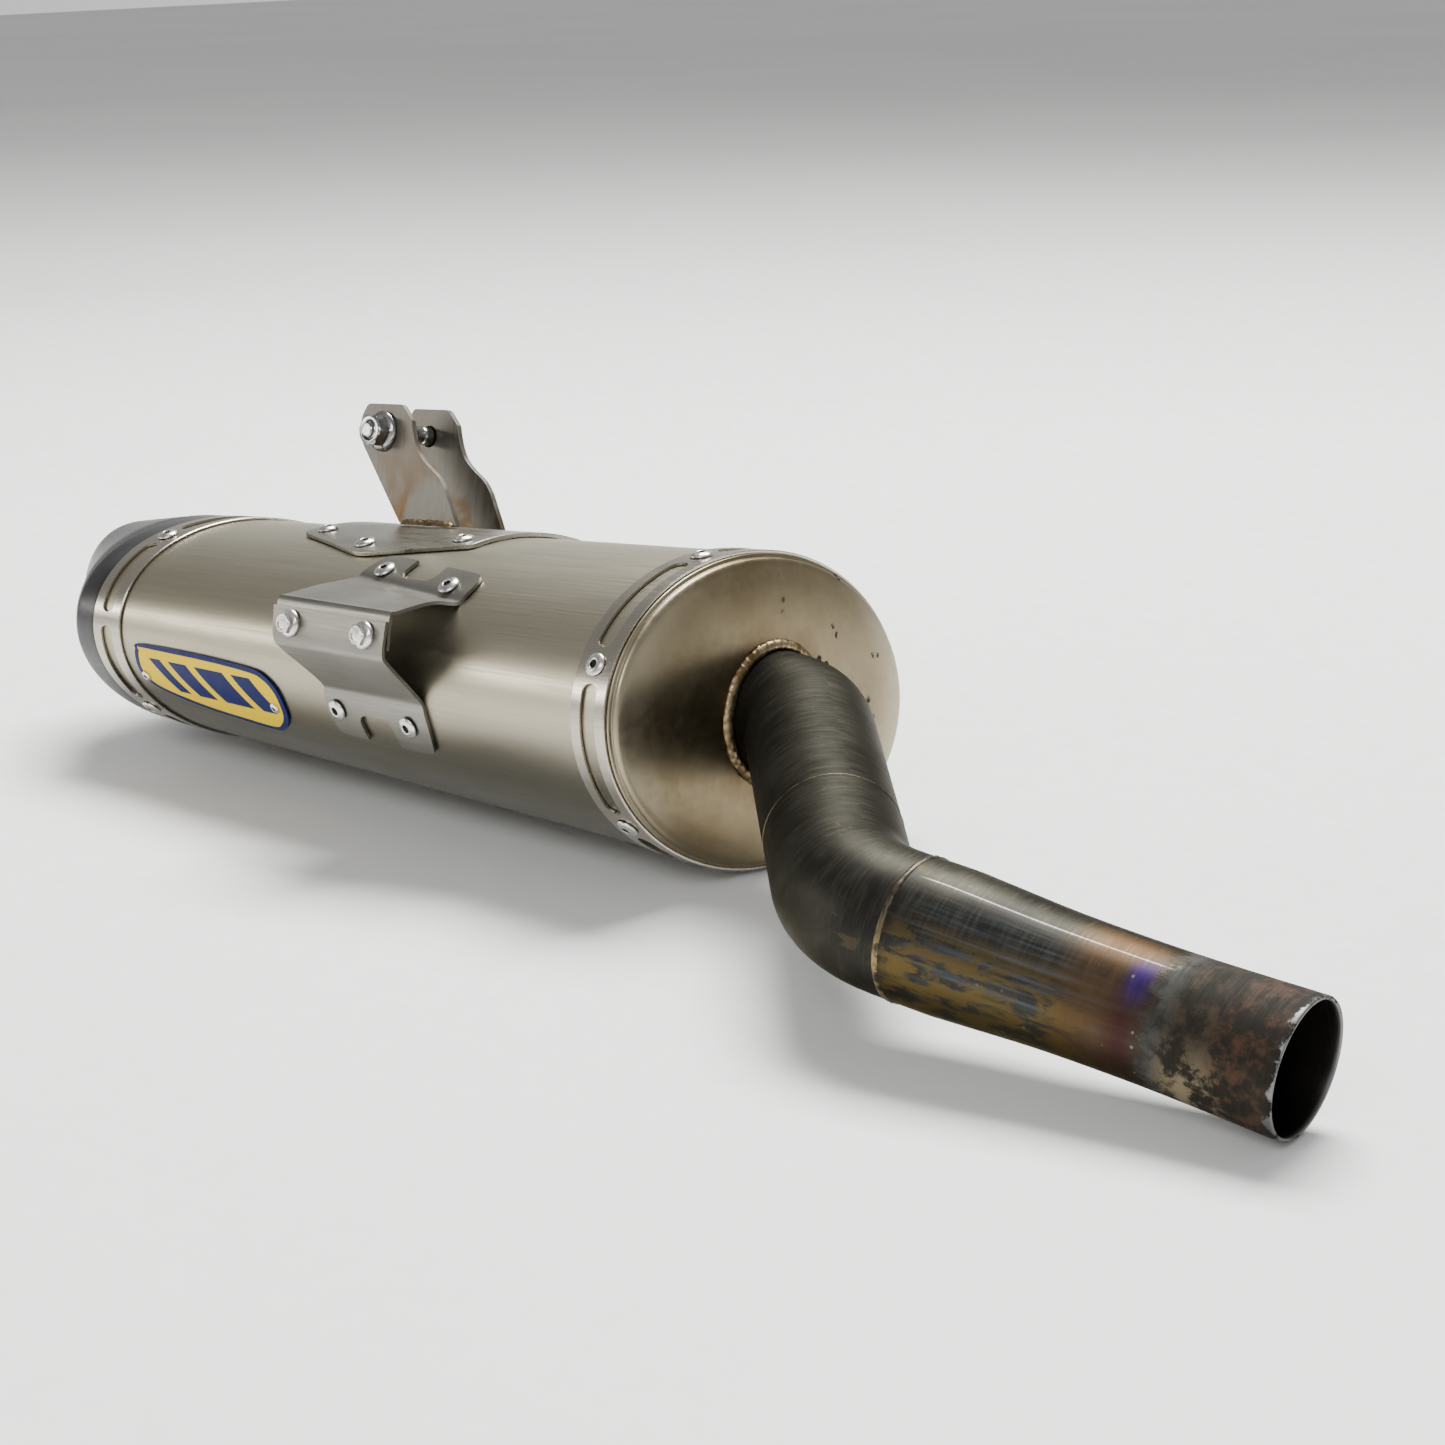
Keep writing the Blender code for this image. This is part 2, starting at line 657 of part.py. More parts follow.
def make_clevis():
    """Two ears on the saddle, drilled for the mounting bolt and welded along their feet."""
    drill = place(pin_cutter("drill_clevis", BOLT_HOLE_RADIUS, -40.0, 40.0, 24), bolt_axis_frame(0.0, 1.0))
    for name, side in (("near", -1.0), ("far", 1.0)):
        inner = side * EAR_GAP / 2
        outline = ear_outline(side)
        rings = [[(x, y, z) for x, z in outline] for y in (inner, inner + side * EAR_SHEET)]
        cut(add_object(f"clevis_ear_{name}", skin(rings, False), MATERIALS["bracket"]), drill)
        make_ear_weld(f"clevis_weld_{name}", side)


def make_ear_weld(name, side):
    """Fillet bead along the outside of an ear's foot."""
    rear_foot, front_foot = EAR_FOOT
    ear_face = side * (EAR_GAP / 2 + EAR_SHEET)
    steps = 12
    rings = []
    for k in range(steps + 1):
        x = rear_foot + 2.0 + (front_foot - rear_foot - 4.0) * k / steps
        size = 2.4 + 0.4 * (k % 2)
        ring = []
        for reach, rise in ((GAP, 0.2), (size, 0.2), (size * 0.75, size * 0.7), (GAP, size)):
            y = ear_face + side * reach
            ring.append((x, y, ear_floor(x, y) + rise))
        rings.append(ring)
    add_object(name, skin(rings, False), MATERIALS["weld"])


def bolt_rings(flats, flange, head_height, shank, length):
    """Flanged hex bolt along Z: the seat is at z = 0, the head below it and the shank above."""
    return turned([
        (-head_height, flats * 0.34, False),
        (-head_height, flats * 0.46, False),
        (0.7 - head_height, flats * 0.50, True),
        (-2.0, flats * 0.50, True),
        (-1.7, flange * 0.46, False),
        (-0.8, flange * 0.50, False),
        (0.0, flange * 0.50, False),
        (0.0, shank, False),
        (length - 1.2, shank, False),
        (length, shank * 0.7, False),
    ])


def nut_rings(flats, flange, height, bore):
    """Flanged hex nut along Z with an open bore."""
    return turned([
        (0.0, bore, False),
        (0.0, flange * 0.50, False),
        (0.9, flange * 0.50, False),
        (1.8, flange * 0.46, False),
        (2.1, flats * 0.50, True),
        (height - 0.7, flats * 0.50, True),
        (height, flats * 0.45, False),
        (height, bore, False),
    ])


def make_clevis_bolt():
    """M8 flange bolt from the far side and its flange nut on the near side, on one axis."""
    seat = EAR_GAP / 2 + EAR_SHEET + GAP
    rings = bolt_rings(13.0, 17.9, 8.0, BOLT_RADIUS, 2 * seat + 9.5)
    place(add_object("clevis_bolt", skin(rings, False), MATERIALS["zinc"]), bolt_axis_frame(seat, -1.0))
    rings = nut_rings(13.0, 17.9, 8.2, BOLT_RADIUS + GAP)
    place(add_object("clevis_nut", skin(rings, True), MATERIALS["zinc"]), bolt_axis_frame(-seat, -1.0))


def bracket_sheet(name, rows, side):
    """A folded sheet from rows of (rear point, front point), thickened square to the fold lines."""
    def lift(r, c):
        before = rows[max(r - 1, 0)]
        after = rows[min(r + 1, len(rows) - 1)]
        across = (rows[r][1] - rows[r][0]).normalized()
        climb = (after[0] + after[1] - before[0] - before[1]).normalized()
        return rows[r][c] + across.cross(climb).normalized() * BRACKET_SHEET * side

    return add_object(name, sheet(rows, lift), MATERIALS["bracket"])


def can_row(degrees, rear, front, twist=0.0):
    """Row on the sleeve; the twist turns the front end on, because the can tapers under a straight edge."""
    lift = GAP - SLEEVE_INSET + 0.04 * twist
    return (above_can(rear, degrees, lift), above_can(front, degrees + twist, lift))


def free_row(y, z, rear, front):
    return (Vector((rear, y, z)), Vector((front, y, z)))


def notch_cutter(name, x, degrees, half_width, direction):
    """Round-cornered notch between two rivet lobes, open past the flange's edge."""
    corner = 3.0
    right = [(half_width, 16.0), (half_width, corner), (half_width - 0.9, 0.9), (half_width - corner, 0.0)]
    outline = right + [(-u, v) for u, v in reversed(right)]
    frame = can_stand(x, degrees, 0.0)
    rings = [[(u, direction * v, z) for u, v in outline] for z in (-7.0, 6.0)]
    return place(hide_cutter(add_object(name, skin(rings, False), MATERIALS["cutter"])), frame)


def make_side_bracket():
    """Front sheet and top sheet, each riveted to the sleeve, meeting in a bolted overlap."""
    inner = BRACKET_FACE_Y + BRACKET_SHEET
    rows = [can_row(213.0, -162.5, -110.0), can_row(211.5, -166.0, -106.5), can_row(208.0, -167.0, -105.0),
            can_row(202.0, -167.5, -103.8), can_row(196.0, -167.5, -104.0), can_row(191.5, -166.8, -104.8),
            free_row(-88.0, -6.6, -167.0, -106.0), free_row(-101.0, 3.6, -173.8, -107.2),
            free_row(inner, 7.6, -175.8, -107.5), free_row(inner, 20.0, -177.0, -107.0)]
    front = bracket_sheet("side_bracket_front", rows, 1.0)
    tab = inner + GAP + BRACKET_SHEET
    rows = [can_row(130.5, -160.5, -103.0, BRACKET_TWIST), can_row(132.0, -165.0, -99.5, BRACKET_TWIST),
            can_row(136.0, -167.0, -98.0, BRACKET_TWIST), can_row(140.5, -168.5, -98.5, BRACKET_TWIST),
            can_row(145.0, -170.0, -100.0, BRACKET_TWIST), free_row(-84.0, 28.0, -174.0, -104.0),
            free_row(-99.0, 23.2, -176.5, -106.8), free_row(tab, 21.6, -177.0, -107.0),
            free_row(tab, 8.6, -177.0, -107.0)]
    top = bracket_sheet("side_bracket_top", rows, -1.0)
    cut(front, notch_cutter("notch_front", -138.0, 201.5, 10.3, -1.0))
    cut(top, notch_cutter("notch_top", -134.5, 142.5, 10.5, 1.0))
    base = GAP - SLEEVE_INSET
    seat_height = base + BRACKET_SHEET + GAP
    grip = SHEET + BRACKET_SHEET + 4 * GAP
    for k, (x, degrees) in enumerate(BRACKET_RIVETS):
        sheet_name = "side_bracket_front" if k < 2 else "side_bracket_top"
        rivet(f"bracket_rivet_{k}", x, degrees, seat_height, grip, (sheet_name, "sleeve"))
    inwards = Matrix.Rotation(-math.pi / 2, 4, "X")
    for k, x in enumerate(BRACKET_BOLTS):
        seat = Matrix.Translation((x, BRACKET_FACE_Y - GAP, BRACKET_BOLT_Z)) @ inwards
        rings = bolt_rings(8.0, 11.5, 4.8, M6_RADIUS, 11.0)
        place(add_object(f"bracket_bolt_{k}", skin(rings, False), MATERIALS["zinc"]), seat)
        drill = place(pin_cutter(f"drill_bolt_{k}", M6_HOLE_RADIUS, -2.0, 8.0, 16), seat)
        cut(front, drill)
        cut(top, drill)
        back = Matrix.Translation((x, tab + GAP, BRACKET_BOLT_Z)) @ inwards
        rings = nut_rings(10.0, 12.0, 5.0, M6_RADIUS + GAP)
        place(add_object(f"bracket_nut_{k}", skin(rings, True), MATERIALS["zinc"]), back)


def lay_down(root):
    """Roll and tilt the can, then bring the underside to z = 0 and centre the footprint."""
    root.rotation_euler = (ROLL, TILT, 0.0)
    bpy.context.view_layer.update()
    low = Vector((math.inf, math.inf, math.inf))
    high = -low
    for obj in root.children:
        if obj.hide_render:
            continue
        for vert in obj.data.vertices:
            point = obj.matrix_world @ vert.co
            low = Vector(map(min, low, point))
            high = Vector(map(max, high, point))
    root.location = (-(low.x + high.x) / 2, -(low.y + high.y) / 2, -low.z)


MATERIALS = {
    "sleeve": material("brushed titanium", (0.46, 0.43, 0.39), 0.34, 1.0),
    "cap": material("heat tinted steel", (0.52, 0.47, 0.38), 0.32, 1.0),
    "band": material("polished steel band", (0.62, 0.60, 0.55), 0.22, 1.0),
    "tail": material("satin black carbon", (0.03, 0.035, 0.035), 0.35, 0.0),
    "pipe": material("oxidised pipe", (0.13, 0.10, 0.08), 0.42, 1.0),
    "weld": material("weld bead", (0.36, 0.29, 0.20), 0.45, 1.0),
    "bracket": material("satin stainless", (0.55, 0.54, 0.51), 0.30, 1.0),
    "zinc": material("dark zinc", (0.35, 0.36, 0.38), 0.35, 1.0),
    "rivet": material("bright rivet", (0.72, 0.71, 0.69), 0.25, 1.0),
    "plate": material("yellow plate", (0.90, 0.68, 0.03), 0.40, 0.0),
    "inner": material("plain stainless", (0.50, 0.49, 0.47), 0.40, 1.0),
    "packing": material("glass wool", (0.85, 0.83, 0.76), 0.95, 0.0),
    "cutter": material("cutter", (0.8, 0.1, 0.1), 0.5, 0.0),
}


def main():
    root = bpy.data.objects.new("can_frame", None)
    bpy.context.collection.objects.link(root)
    make_inlet_cap()
    make_tail_cap()
    make_insides()
    make_can()
    make_pipe_weld()
    make_pipe()
    make_name_plate()
    make_saddle()
    make_clevis()
    make_clevis_bolt()
    make_side_bracket()
    lay_down(root)


main()
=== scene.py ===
"""Looks of the muffler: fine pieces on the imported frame, procedural materials, floor, light and camera."""
import json
import math

import bmesh
import bpy
from mathutils import Euler, Matrix, Vector, noise


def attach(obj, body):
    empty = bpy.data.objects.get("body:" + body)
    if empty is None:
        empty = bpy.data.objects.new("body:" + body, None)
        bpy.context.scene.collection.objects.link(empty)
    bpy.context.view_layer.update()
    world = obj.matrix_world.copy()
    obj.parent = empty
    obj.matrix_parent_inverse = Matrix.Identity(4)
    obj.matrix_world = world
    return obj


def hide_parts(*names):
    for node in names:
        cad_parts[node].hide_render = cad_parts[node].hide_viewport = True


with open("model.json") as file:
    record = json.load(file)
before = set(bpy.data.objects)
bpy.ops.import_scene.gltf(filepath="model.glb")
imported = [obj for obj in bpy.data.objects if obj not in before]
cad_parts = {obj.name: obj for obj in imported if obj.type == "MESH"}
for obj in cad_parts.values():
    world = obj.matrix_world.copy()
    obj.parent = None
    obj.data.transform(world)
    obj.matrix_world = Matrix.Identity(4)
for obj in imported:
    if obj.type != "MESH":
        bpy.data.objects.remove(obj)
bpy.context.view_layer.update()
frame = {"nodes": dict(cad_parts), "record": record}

MM = 0.001
GAP = 0.3
OVAL_SEGMENTS = 200
PIPE_SEGMENTS = 72
SPOUT_SEGMENTS = 96

# The can's own frame, as the CAD defines it: +X to the inlet pipe, -Y the badge side, +Z the clevis.
CAN_LENGTH = 330.5
FRONT_HALF = (86.5, 64.0)
REAR_HALF = (83.0, 50.5)
BOLT_PLACE = Vector((-224.5, 0.0, 95.5))
TURN = Euler((math.radians(-12.85), math.radians(-2.2), 0.0)).to_matrix()
JOINTS = {joint["name"]: joint for joint in frame["record"]["behaviour"]["joints"]}
ORIGIN = Vector(JOINTS["clevis_bolt_spin"]["pos_m"]) - TURN @ (BOLT_PLACE * MM)
CAN = Matrix.Translation(ORIGIN) @ TURN.to_4x4()

SHEET = 1.0
SLEEVE_INSET = 1.3
SLEEVE_LIFT = GAP - SLEEVE_INSET
CAP_INSET = 2.6
CAP_SHEET = 1.2
CAP_SPIGOT = -24.0
CAP_FACE = 8.6
COLLAR_LENGTH = 14.0
TAIL_LENGTH = 56.5
TAIL_SHEET = 1.8
MOUTH_HALF = (46.5, 42.0)
MOUTH_SLANT = 0.47
CORE_WALL = 1.2
SPOUT_RADIUS = 28.7
PIPE_RADIUS = 25.4
PIPE_WALL = 1.5
PIPE_CORNERS = ((-6.0, 0.0, 0.0), (25.3, 0.0, 0.0), (147.0, -108.0, -50.0), (316.5, -84.0, -73.1))
BEND_RADIUS = 44.0
# Seams as distance down the pipe, half width, rise and roughness.
SEAMS = ((144.0, 0.55, 0.18, 0.05), (224.0, 1.3, 0.45, 0.22))
NECK = ((240.0, 25.4), (256.0, 24.5), (284.0, 23.1), (324.0, 22.8), (370.0, 23.9))
EAR_GAP = 24.4
EAR_SHEET = 2.5
SADDLE_SHEET = 2.0
PLATE_SHEET = 0.9
BRACKET_SHEET = 1.5
BRACKET_FACE_Y = -105.0
BRACKET_BOLTS = (-164.7, -118.7)
BRACKET_BOLT_Z = 13.5
BRACKET_RIVETS = ((-160.5, 201.0), (-116.0, 202.0), (-156.5, 139.5), (-111.5, 144.0))
BRACKET_TWIST = 6.0
FRONT_BAND = (-18.5, 0.0)
REAR_BAND = (-330.5, -310.5)
FRONT_RIVET_X = -9.2
REAR_RIVET_X = -320.5
FRONT_RIVET_ANGLES = (13.5, 68.0, 112.0, 166.5, 228.0, 312.0)
REAR_RIVET_ANGLES = (50.0, 130.0, 230.0, 310.0)
PLATE_RIVETS = ((-298.0, 206.0), (-207.5, 208.0))
SADDLE_RIVETS = ((-230.0, 25.0), (-190.0, 34.5), (-142.0, 25.0))

# The camera: place from the can's origin, then pitch, roll and yaw in degrees, then focal length.
CAMERA_PLACE = (796.08, -858.56, 313.1)
CAMERA_TURN = (15.17, -1.298, 43.546)
CAMERA_LENS = 76.3

# A turned profile points up; these lay it towards the badge side, or away from it.
TOWARDS_BADGE = Matrix.Rotation(math.pi / 2, 4, "X")
FROM_BADGE = Matrix.Rotation(-math.pi / 2, 4, "X")


# ---------------------------------------------------------------- shader helpers

class Shader:
    """A material's node tree with short names for the nodes it uses."""

    def __init__(self, name, **constants):
        self.mat = bpy.data.materials.new(name)
        self.mat.use_nodes = True
        self.tree = self.mat.node_tree
        self.bsdf = self.tree.nodes["Principled BSDF"]
        for key, value in constants.items():
            self.bsdf.inputs[key.replace("_", " ")].default_value = value

    def node(self, kind, inputs, out=0, **props):
        made = self.tree.nodes.new("ShaderNode" + kind)
        for key, value in props.items():
            setattr(made, key, value)
        for key, value in inputs.items():
            if isinstance(value, bpy.types.NodeSocket):
                self.tree.links.new(value, made.inputs[key])
            elif value is not None:
                made.inputs[key].default_value = value
        return made.outputs[out]

    def coords(self, scale=(1.0, 1.0, 1.0), uv=False, turn=(0.0, 0.0, 0.0)):
        """The can frame's coordinates, or the surface map's metres along and around, stretched by a scale."""
        if uv:
            source = self.node("UVMap", {}, uv_map="surface")
        else:
            world = self.node("TexCoord", {}, out="Object")
            back = CAN.inverted()
            source = self.node("Mapping", {"Vector": world, "Location": back.translation,
                                           "Rotation": back.to_euler()})
        return self.node("Mapping", {"Vector": source, "Scale": scale, "Rotation": turn})

    def noise(self, scale, detail, rough, lift=0.0, uv=False, turn=(0.0, 0.0, 0.0)):
        """Noise with a scale in cells per metre, the same every way or as three numbers."""
        if not isinstance(scale, tuple):
            scale = (scale, scale, scale)
        return self.node("TexNoise", {"Vector": self.coords(scale, uv, turn), "Scale": 1.0, "Detail": detail,
                                      "Roughness": rough, "Distortion": lift})

    def brushed(self, along, around, detail, rough, lift=0.0, angle=0.0):
        """Noise stretched over the surface map."""
        return self.noise((along, around, 1.0), detail, rough, lift, True, (0.0, 0.0, angle))

    def cells(self, scale):
        return self.node("TexVoronoi", {"Vector": self.coords(), "Scale": scale}, out="Distance")

    def axis(self, which, uv=True):
        """One coordinate in metres: 0 along, 1 around on the surface map, or the object's X, Y, Z."""
        source = self.coords(uv=uv)
        return self.node("SeparateXYZ", {0: source}, out=which)

    def remap(self, value, low, high, to_low=0.0, to_high=1.0):
        return self.node("MapRange", {"Value": value, "From Min": low, "From Max": high,
                                      "To Min": to_low, "To Max": to_high}, interpolation_type="SMOOTHSTEP")

    def window(self, value, low, high, soft):
        rise = self.remap(value, low - soft, low + soft)
        fall = self.remap(value, high - soft, high + soft, 1.0, 0.0)
        return self.times(rise, fall)

    def times(self, a, b):
        return self.node("Math", {0: a, 1: b}, operation="MULTIPLY")

    def plus(self, a, b):
        return self.node("Math", {0: a, 1: b}, operation="ADD", use_clamp=True)

    def mix(self, factor, a, b):
        return self.node("Mix", {0: factor, 6: colour(a), 7: colour(b)}, out=2, data_type="RGBA")

    def done(self, base, rough, bump=None, strength=0.1, distance=0.0002, metal=None):
        links = self.tree.links
        links.new(base, self.bsdf.inputs["Base Color"])
        links.new(rough, self.bsdf.inputs["Roughness"])
        if metal is not None:
            links.new(metal, self.bsdf.inputs["Metallic"])
        if bump is not None:
            normal = self.node("Bump", {"Height": bump, "Strength": strength, "Distance": distance})
            links.new(normal, self.bsdf.inputs["Normal"])
        return self.mat


def colour(value):
    if isinstance(value, bpy.types.NodeSocket):
        return value
    return (*value, 1.0)


def sheet_metal(name, dark, light, rough_low, rough_high, tint=None):
    """Brushed sheet: fine streaks along the surface, broad cloudy tone, small scuffs."""
    s = Shader(name, Metallic=1.0)
    fine = s.brushed(25.0, 900.0, 3.0, 0.6)
    cloud = s.brushed(9.0, 14.0, 4.0, 0.6, 0.4, 0.7)
    base = s.mix(s.remap(cloud, 0.3, 0.7), dark, light)
    base = s.mix(s.remap(fine, 0.3, 0.75, 0.0, 0.28), base, tuple(0.6 * c for c in dark))
    if tint:
        spot = s.noise(22.0, 3.0, 0.5)
        base = s.mix(s.remap(spot, 0.5, 0.72, 0.0, 0.6), base, tint)
    rough = s.plus(s.remap(fine, 0.25, 0.8, rough_low, rough_high), s.remap(cloud, 0.3, 0.8, 0.0, 0.07))
    return s.done(base, rough, fine, 0.10, 0.0001)


def sleeve_material():
    """Titanium skin: olive grey over the top, painted shade darkening it lower down, brushed along the can.
    """
    s = Shader("brushed_titanium", Metallic=1.0)
    fine = s.brushed(14.0, 1100.0, 4.0, 0.65)
    streak = s.brushed(7.0, 26.0, 5.0, 0.62, 0.3, 0.9)
    cloud = s.noise(5.0, 3.0, 0.5)
    top = s.remap(s.axis(2, uv=False), 0.005, 0.055)
    base = s.mix(top, (0.375, 0.342, 0.258), (0.375, 0.356, 0.268))
    base = s.mix(s.remap(streak, 0.42, 0.72, 0.0, 0.45), base, (0.25, 0.225, 0.17))
    base = s.mix(s.remap(cloud, 0.45, 0.7, 0.0, 0.35), base, (0.42, 0.385, 0.32))
    base = s.mix(s.remap(fine, 0.35, 0.8, 0.0, 0.25), base, (0.21, 0.19, 0.14))
    # Painted shade: the sleeve darkens towards the bottom, standing in for the shadowed floor it reflects
    # there.
    painted_low_shade = s.remap(s.axis(2, uv=False), 0.000, -0.036, 0.0, 0.9)
    base = s.mix(painted_low_shade, base, (0.115, 0.108, 0.080))
    rough = s.plus(s.remap(fine, 0.2, 0.8, 0.26, 0.38), s.remap(streak, 0.3, 0.8, 0.0, 0.06))
    return s.done(base, rough, fine, 0.09, 0.0001)


def cap_material():
    """Rolled cap: tan sheet, straw and brown heat round the pipe, a painted highlight lightening it towards
    the outer rim, dark pits high on one side.
    """
    s = Shader("heat_tinted_cap", Metallic=1.0)
    place = s.coords()
    across = s.node("SeparateXYZ", {0: place}, out=1)
    up = s.node("SeparateXYZ", {0: place}, out=2)
    flat = s.node("CombineXYZ", {0: 0.0, 1: across, 2: up})
    reach = s.node("VectorMath", {0: flat}, out="Value", operation="LENGTH")
    cloud = s.noise(20.0, 4.0, 0.6)
    fine = s.noise(300.0, 3.0, 0.6)
    base = s.mix(s.remap(cloud, 0.3, 0.7), (0.155, 0.122, 0.070), (0.21, 0.172, 0.108))
    heat = s.remap(s.plus(reach, s.remap(cloud, 0.3, 0.7, -0.006, 0.006)), 0.026, 0.040, 1.0, 0.0)
    base = s.mix(s.times(heat, 0.75), base, (0.12, 0.080, 0.040))
    # Painted highlight: the sheet lightens towards the outer rim, where the rolled shoulder catches the
    # light.
    rim = s.remap(reach, 0.060, 0.082)
    base = s.mix(s.times(rim, 0.5), base, (0.42, 0.375, 0.28))
    pits = s.cells(150.0)
    chance = s.noise(48.0, 1.0, 0.4)
    ragged = s.noise(700.0, 2.0, 0.6)
    pit = s.times(s.remap(pits, 0.24, 0.32, 1.0, 0.0), s.remap(chance, 0.53, 0.56))
    pit = s.times(pit, s.remap(ragged, 0.32, 0.42))
    pit = s.times(pit, s.times(s.remap(across, -0.012, 0.004), s.remap(up, -0.012, 0.006)))
    base = s.mix(s.times(pit, 0.95), base, (0.020, 0.014, 0.010))
    rough = s.plus(s.remap(fine, 0.3, 0.7, 0.34, 0.43), s.times(pit, 0.3))
    return s.done(base, rough, fine, 0.06, 0.0001)


def pipe_material():
    """Burnt pipe: charcoal with a painted bluish sheen on the upper middle, gold patches low on the run,
    violet band, rusty slip end, bare rim.
    """
    s = Shader("burnt_pipe", Specular_Tint=(0.45, 0.44, 0.40, 1.0))
    along = s.axis(0)
    around = s.axis(1)
    fine = s.brushed(900.0, 60.0, 3.0, 0.6)
    lengthways = s.brushed(18.0, 420.0, 3.0, 0.6)
    cloud = s.noise((30.0, 34.0, 30.0), 5.0, 0.6, 0.3)
    ragged = s.brushed(55.0, 150.0, 6.0, 0.68, 0.5)
    base = s.mix(s.remap(cloud, 0.35, 0.7), (0.019, 0.0185, 0.016), (0.034, 0.033, 0.027))
    base = s.mix(s.remap(fine, 0.45, 0.75, 0.0, 0.4), base, (0.056, 0.053, 0.042))
    # Painted sheen: bluish streaks along the upper middle of the run stand in for a reflection.
    sheen = s.times(s.window(along, 0.236, 0.318, 0.016), s.window(around, 0.018, 0.048, 0.012))
    painted_blue_sheen = s.times(sheen, s.remap(lengthways, 0.4, 0.72, 0.0, 0.65))
    base = s.mix(painted_blue_sheen, base, (0.075, 0.088, 0.11))
    lower = s.window(around, 0.032, 0.092, 0.010)
    gold_zone = s.times(lower, s.window(along, 0.226, 0.304, 0.006))
    gold = s.times(gold_zone, s.remap(ragged, 0.42, 0.54))
    base = s.mix(s.times(gold, 0.85), base, (0.092, 0.064, 0.021))
    scatter = s.times(s.window(along, 0.150, 0.226, 0.02), s.remap(ragged, 0.62, 0.66))
    base = s.mix(s.times(scatter, 0.35), base, (0.085, 0.064, 0.028))
    bronze = s.times(s.window(along, 0.292, 0.320, 0.010), s.remap(around, 0.100, 0.040))
    base = s.mix(s.times(bronze, 0.7), base, (0.072, 0.042, 0.021))
    red = s.times(s.window(along, 0.310, 0.321, 0.006), s.window(around, 0.030, 0.058, 0.012))
    base = s.mix(s.times(red, 0.7), base, (0.034, 0.009, 0.012))
    violet = s.times(s.window(along, 0.3125, 0.3200, 0.0035), s.window(around, 0.018, 0.026, 0.009))
    violet = s.times(violet, s.remap(cloud, 0.30, 0.50, 0.6, 1.0))
    base = s.mix(violet, base, (0.030, 0.012, 0.145))
    specks = s.cells(210.0)
    speck = s.times(s.remap(specks, 0.10, 0.15, 1.0, 0.0), s.remap(cloud, 0.52, 0.60))
    speck = s.times(speck, s.remap(along, 0.24, 0.27))
    base = s.mix(s.times(speck, 0.35), base, (0.30, 0.29, 0.27))
    line = s.times(s.window(around, 0.0125, 0.0129, 0.0003), s.window(along, 0.232, 0.322, 0.004))
    base = s.mix(s.times(line, 0.5), base, (0.42, 0.38, 0.33))
    crust = s.remap(s.plus(along, s.remap(ragged, 0.3, 0.7, -0.004, 0.004)), 0.3225, 0.3265)
    flakes = s.noise(130.0, 6.0, 0.7)
    rust = s.mix(s.remap(flakes, 0.42, 0.66), (0.011, 0.0085, 0.006), (0.036, 0.026, 0.017))
    cool = s.times(s.window(along, 0.318, 0.330, 0.004), s.remap(flakes, 0.35, 0.6, 0.2, 0.8))
    rust = s.mix(cool, rust, (0.045, 0.047, 0.044))
    caked = s.times(s.window(around, 0.044, 0.082, 0.012), s.window(along, 0.330, 0.350, 0.006))
    caked = s.times(caked, s.remap(flakes, 0.44, 0.56))
    rust = s.mix(s.times(caked, 0.75), rust, (0.21, 0.17, 0.10))
    red_rust = s.times(s.window(along, 0.348, 0.364, 0.005), s.remap(flakes, 0.45, 0.6))
    rust = s.mix(s.times(red_rust, 0.45), rust, (0.070, 0.024, 0.012))
    base = s.mix(crust, base, rust)
    worn = s.remap(s.plus(along, s.remap(flakes, 0.3, 0.7, -0.0025, 0.0025)), 0.3682, 0.3698)
    base = s.mix(s.times(worn, 0.8), base, (0.20, 0.20, 0.205))
    inside = s.remap(along, 0.3705, 0.3725)
    base = s.mix(inside, base, (0.022, 0.019, 0.017))
    rough = s.plus(s.remap(fine, 0.3, 0.7, 0.40, 0.52), s.times(crust, 0.30))
    rough = s.plus(rough, s.times(worn, -0.28))
    metal = s.plus(s.times(s.remap(crust, 0.0, 1.0, 0.9, 0.25), 1.0), s.times(worn, 0.65))
    bump = s.plus(s.times(fine, 0.25), s.times(s.times(crust, flakes), 1.0))
    return s.done(base, rough, bump, 0.35, 0.0004, metal)


def weld_material():
    s = Shader("weld_bead", Metallic=0.95)
    grain = s.noise(420.0, 4.0, 0.6)
    tone = s.noise(90.0, 3.0, 0.6)
    base = s.mix(s.remap(tone, 0.35, 0.65), (0.11, 0.075, 0.035), (0.27, 0.21, 0.12))
    base = s.mix(s.remap(grain, 0.55, 0.75, 0.0, 0.7), base, (0.10, 0.07, 0.05))
    return s.done(base, s.remap(grain, 0.3, 0.7, 0.28, 0.5), grain, 0.3, 0.0003)


def seam_material():
    """Seam on the pipe: burnt like it, with gold showing low on the near side."""
    s = Shader("pipe_seam_metal", Metallic=0.9)
    grain = s.noise(260.0, 4.0, 0.6)
    lower = s.window(s.axis(1), 0.040, 0.095, 0.010)
    base = s.mix(s.remap(grain, 0.3, 0.7), (0.030, 0.026, 0.020), (0.075, 0.062, 0.042))
    gold = s.times(lower, s.remap(grain, 0.42, 0.58))
    base = s.mix(s.times(gold, 0.85), base, (0.26, 0.19, 0.075))
    return s.done(base, s.remap(grain, 0.3, 0.7, 0.32, 0.5), grain, 0.3, 0.0003)


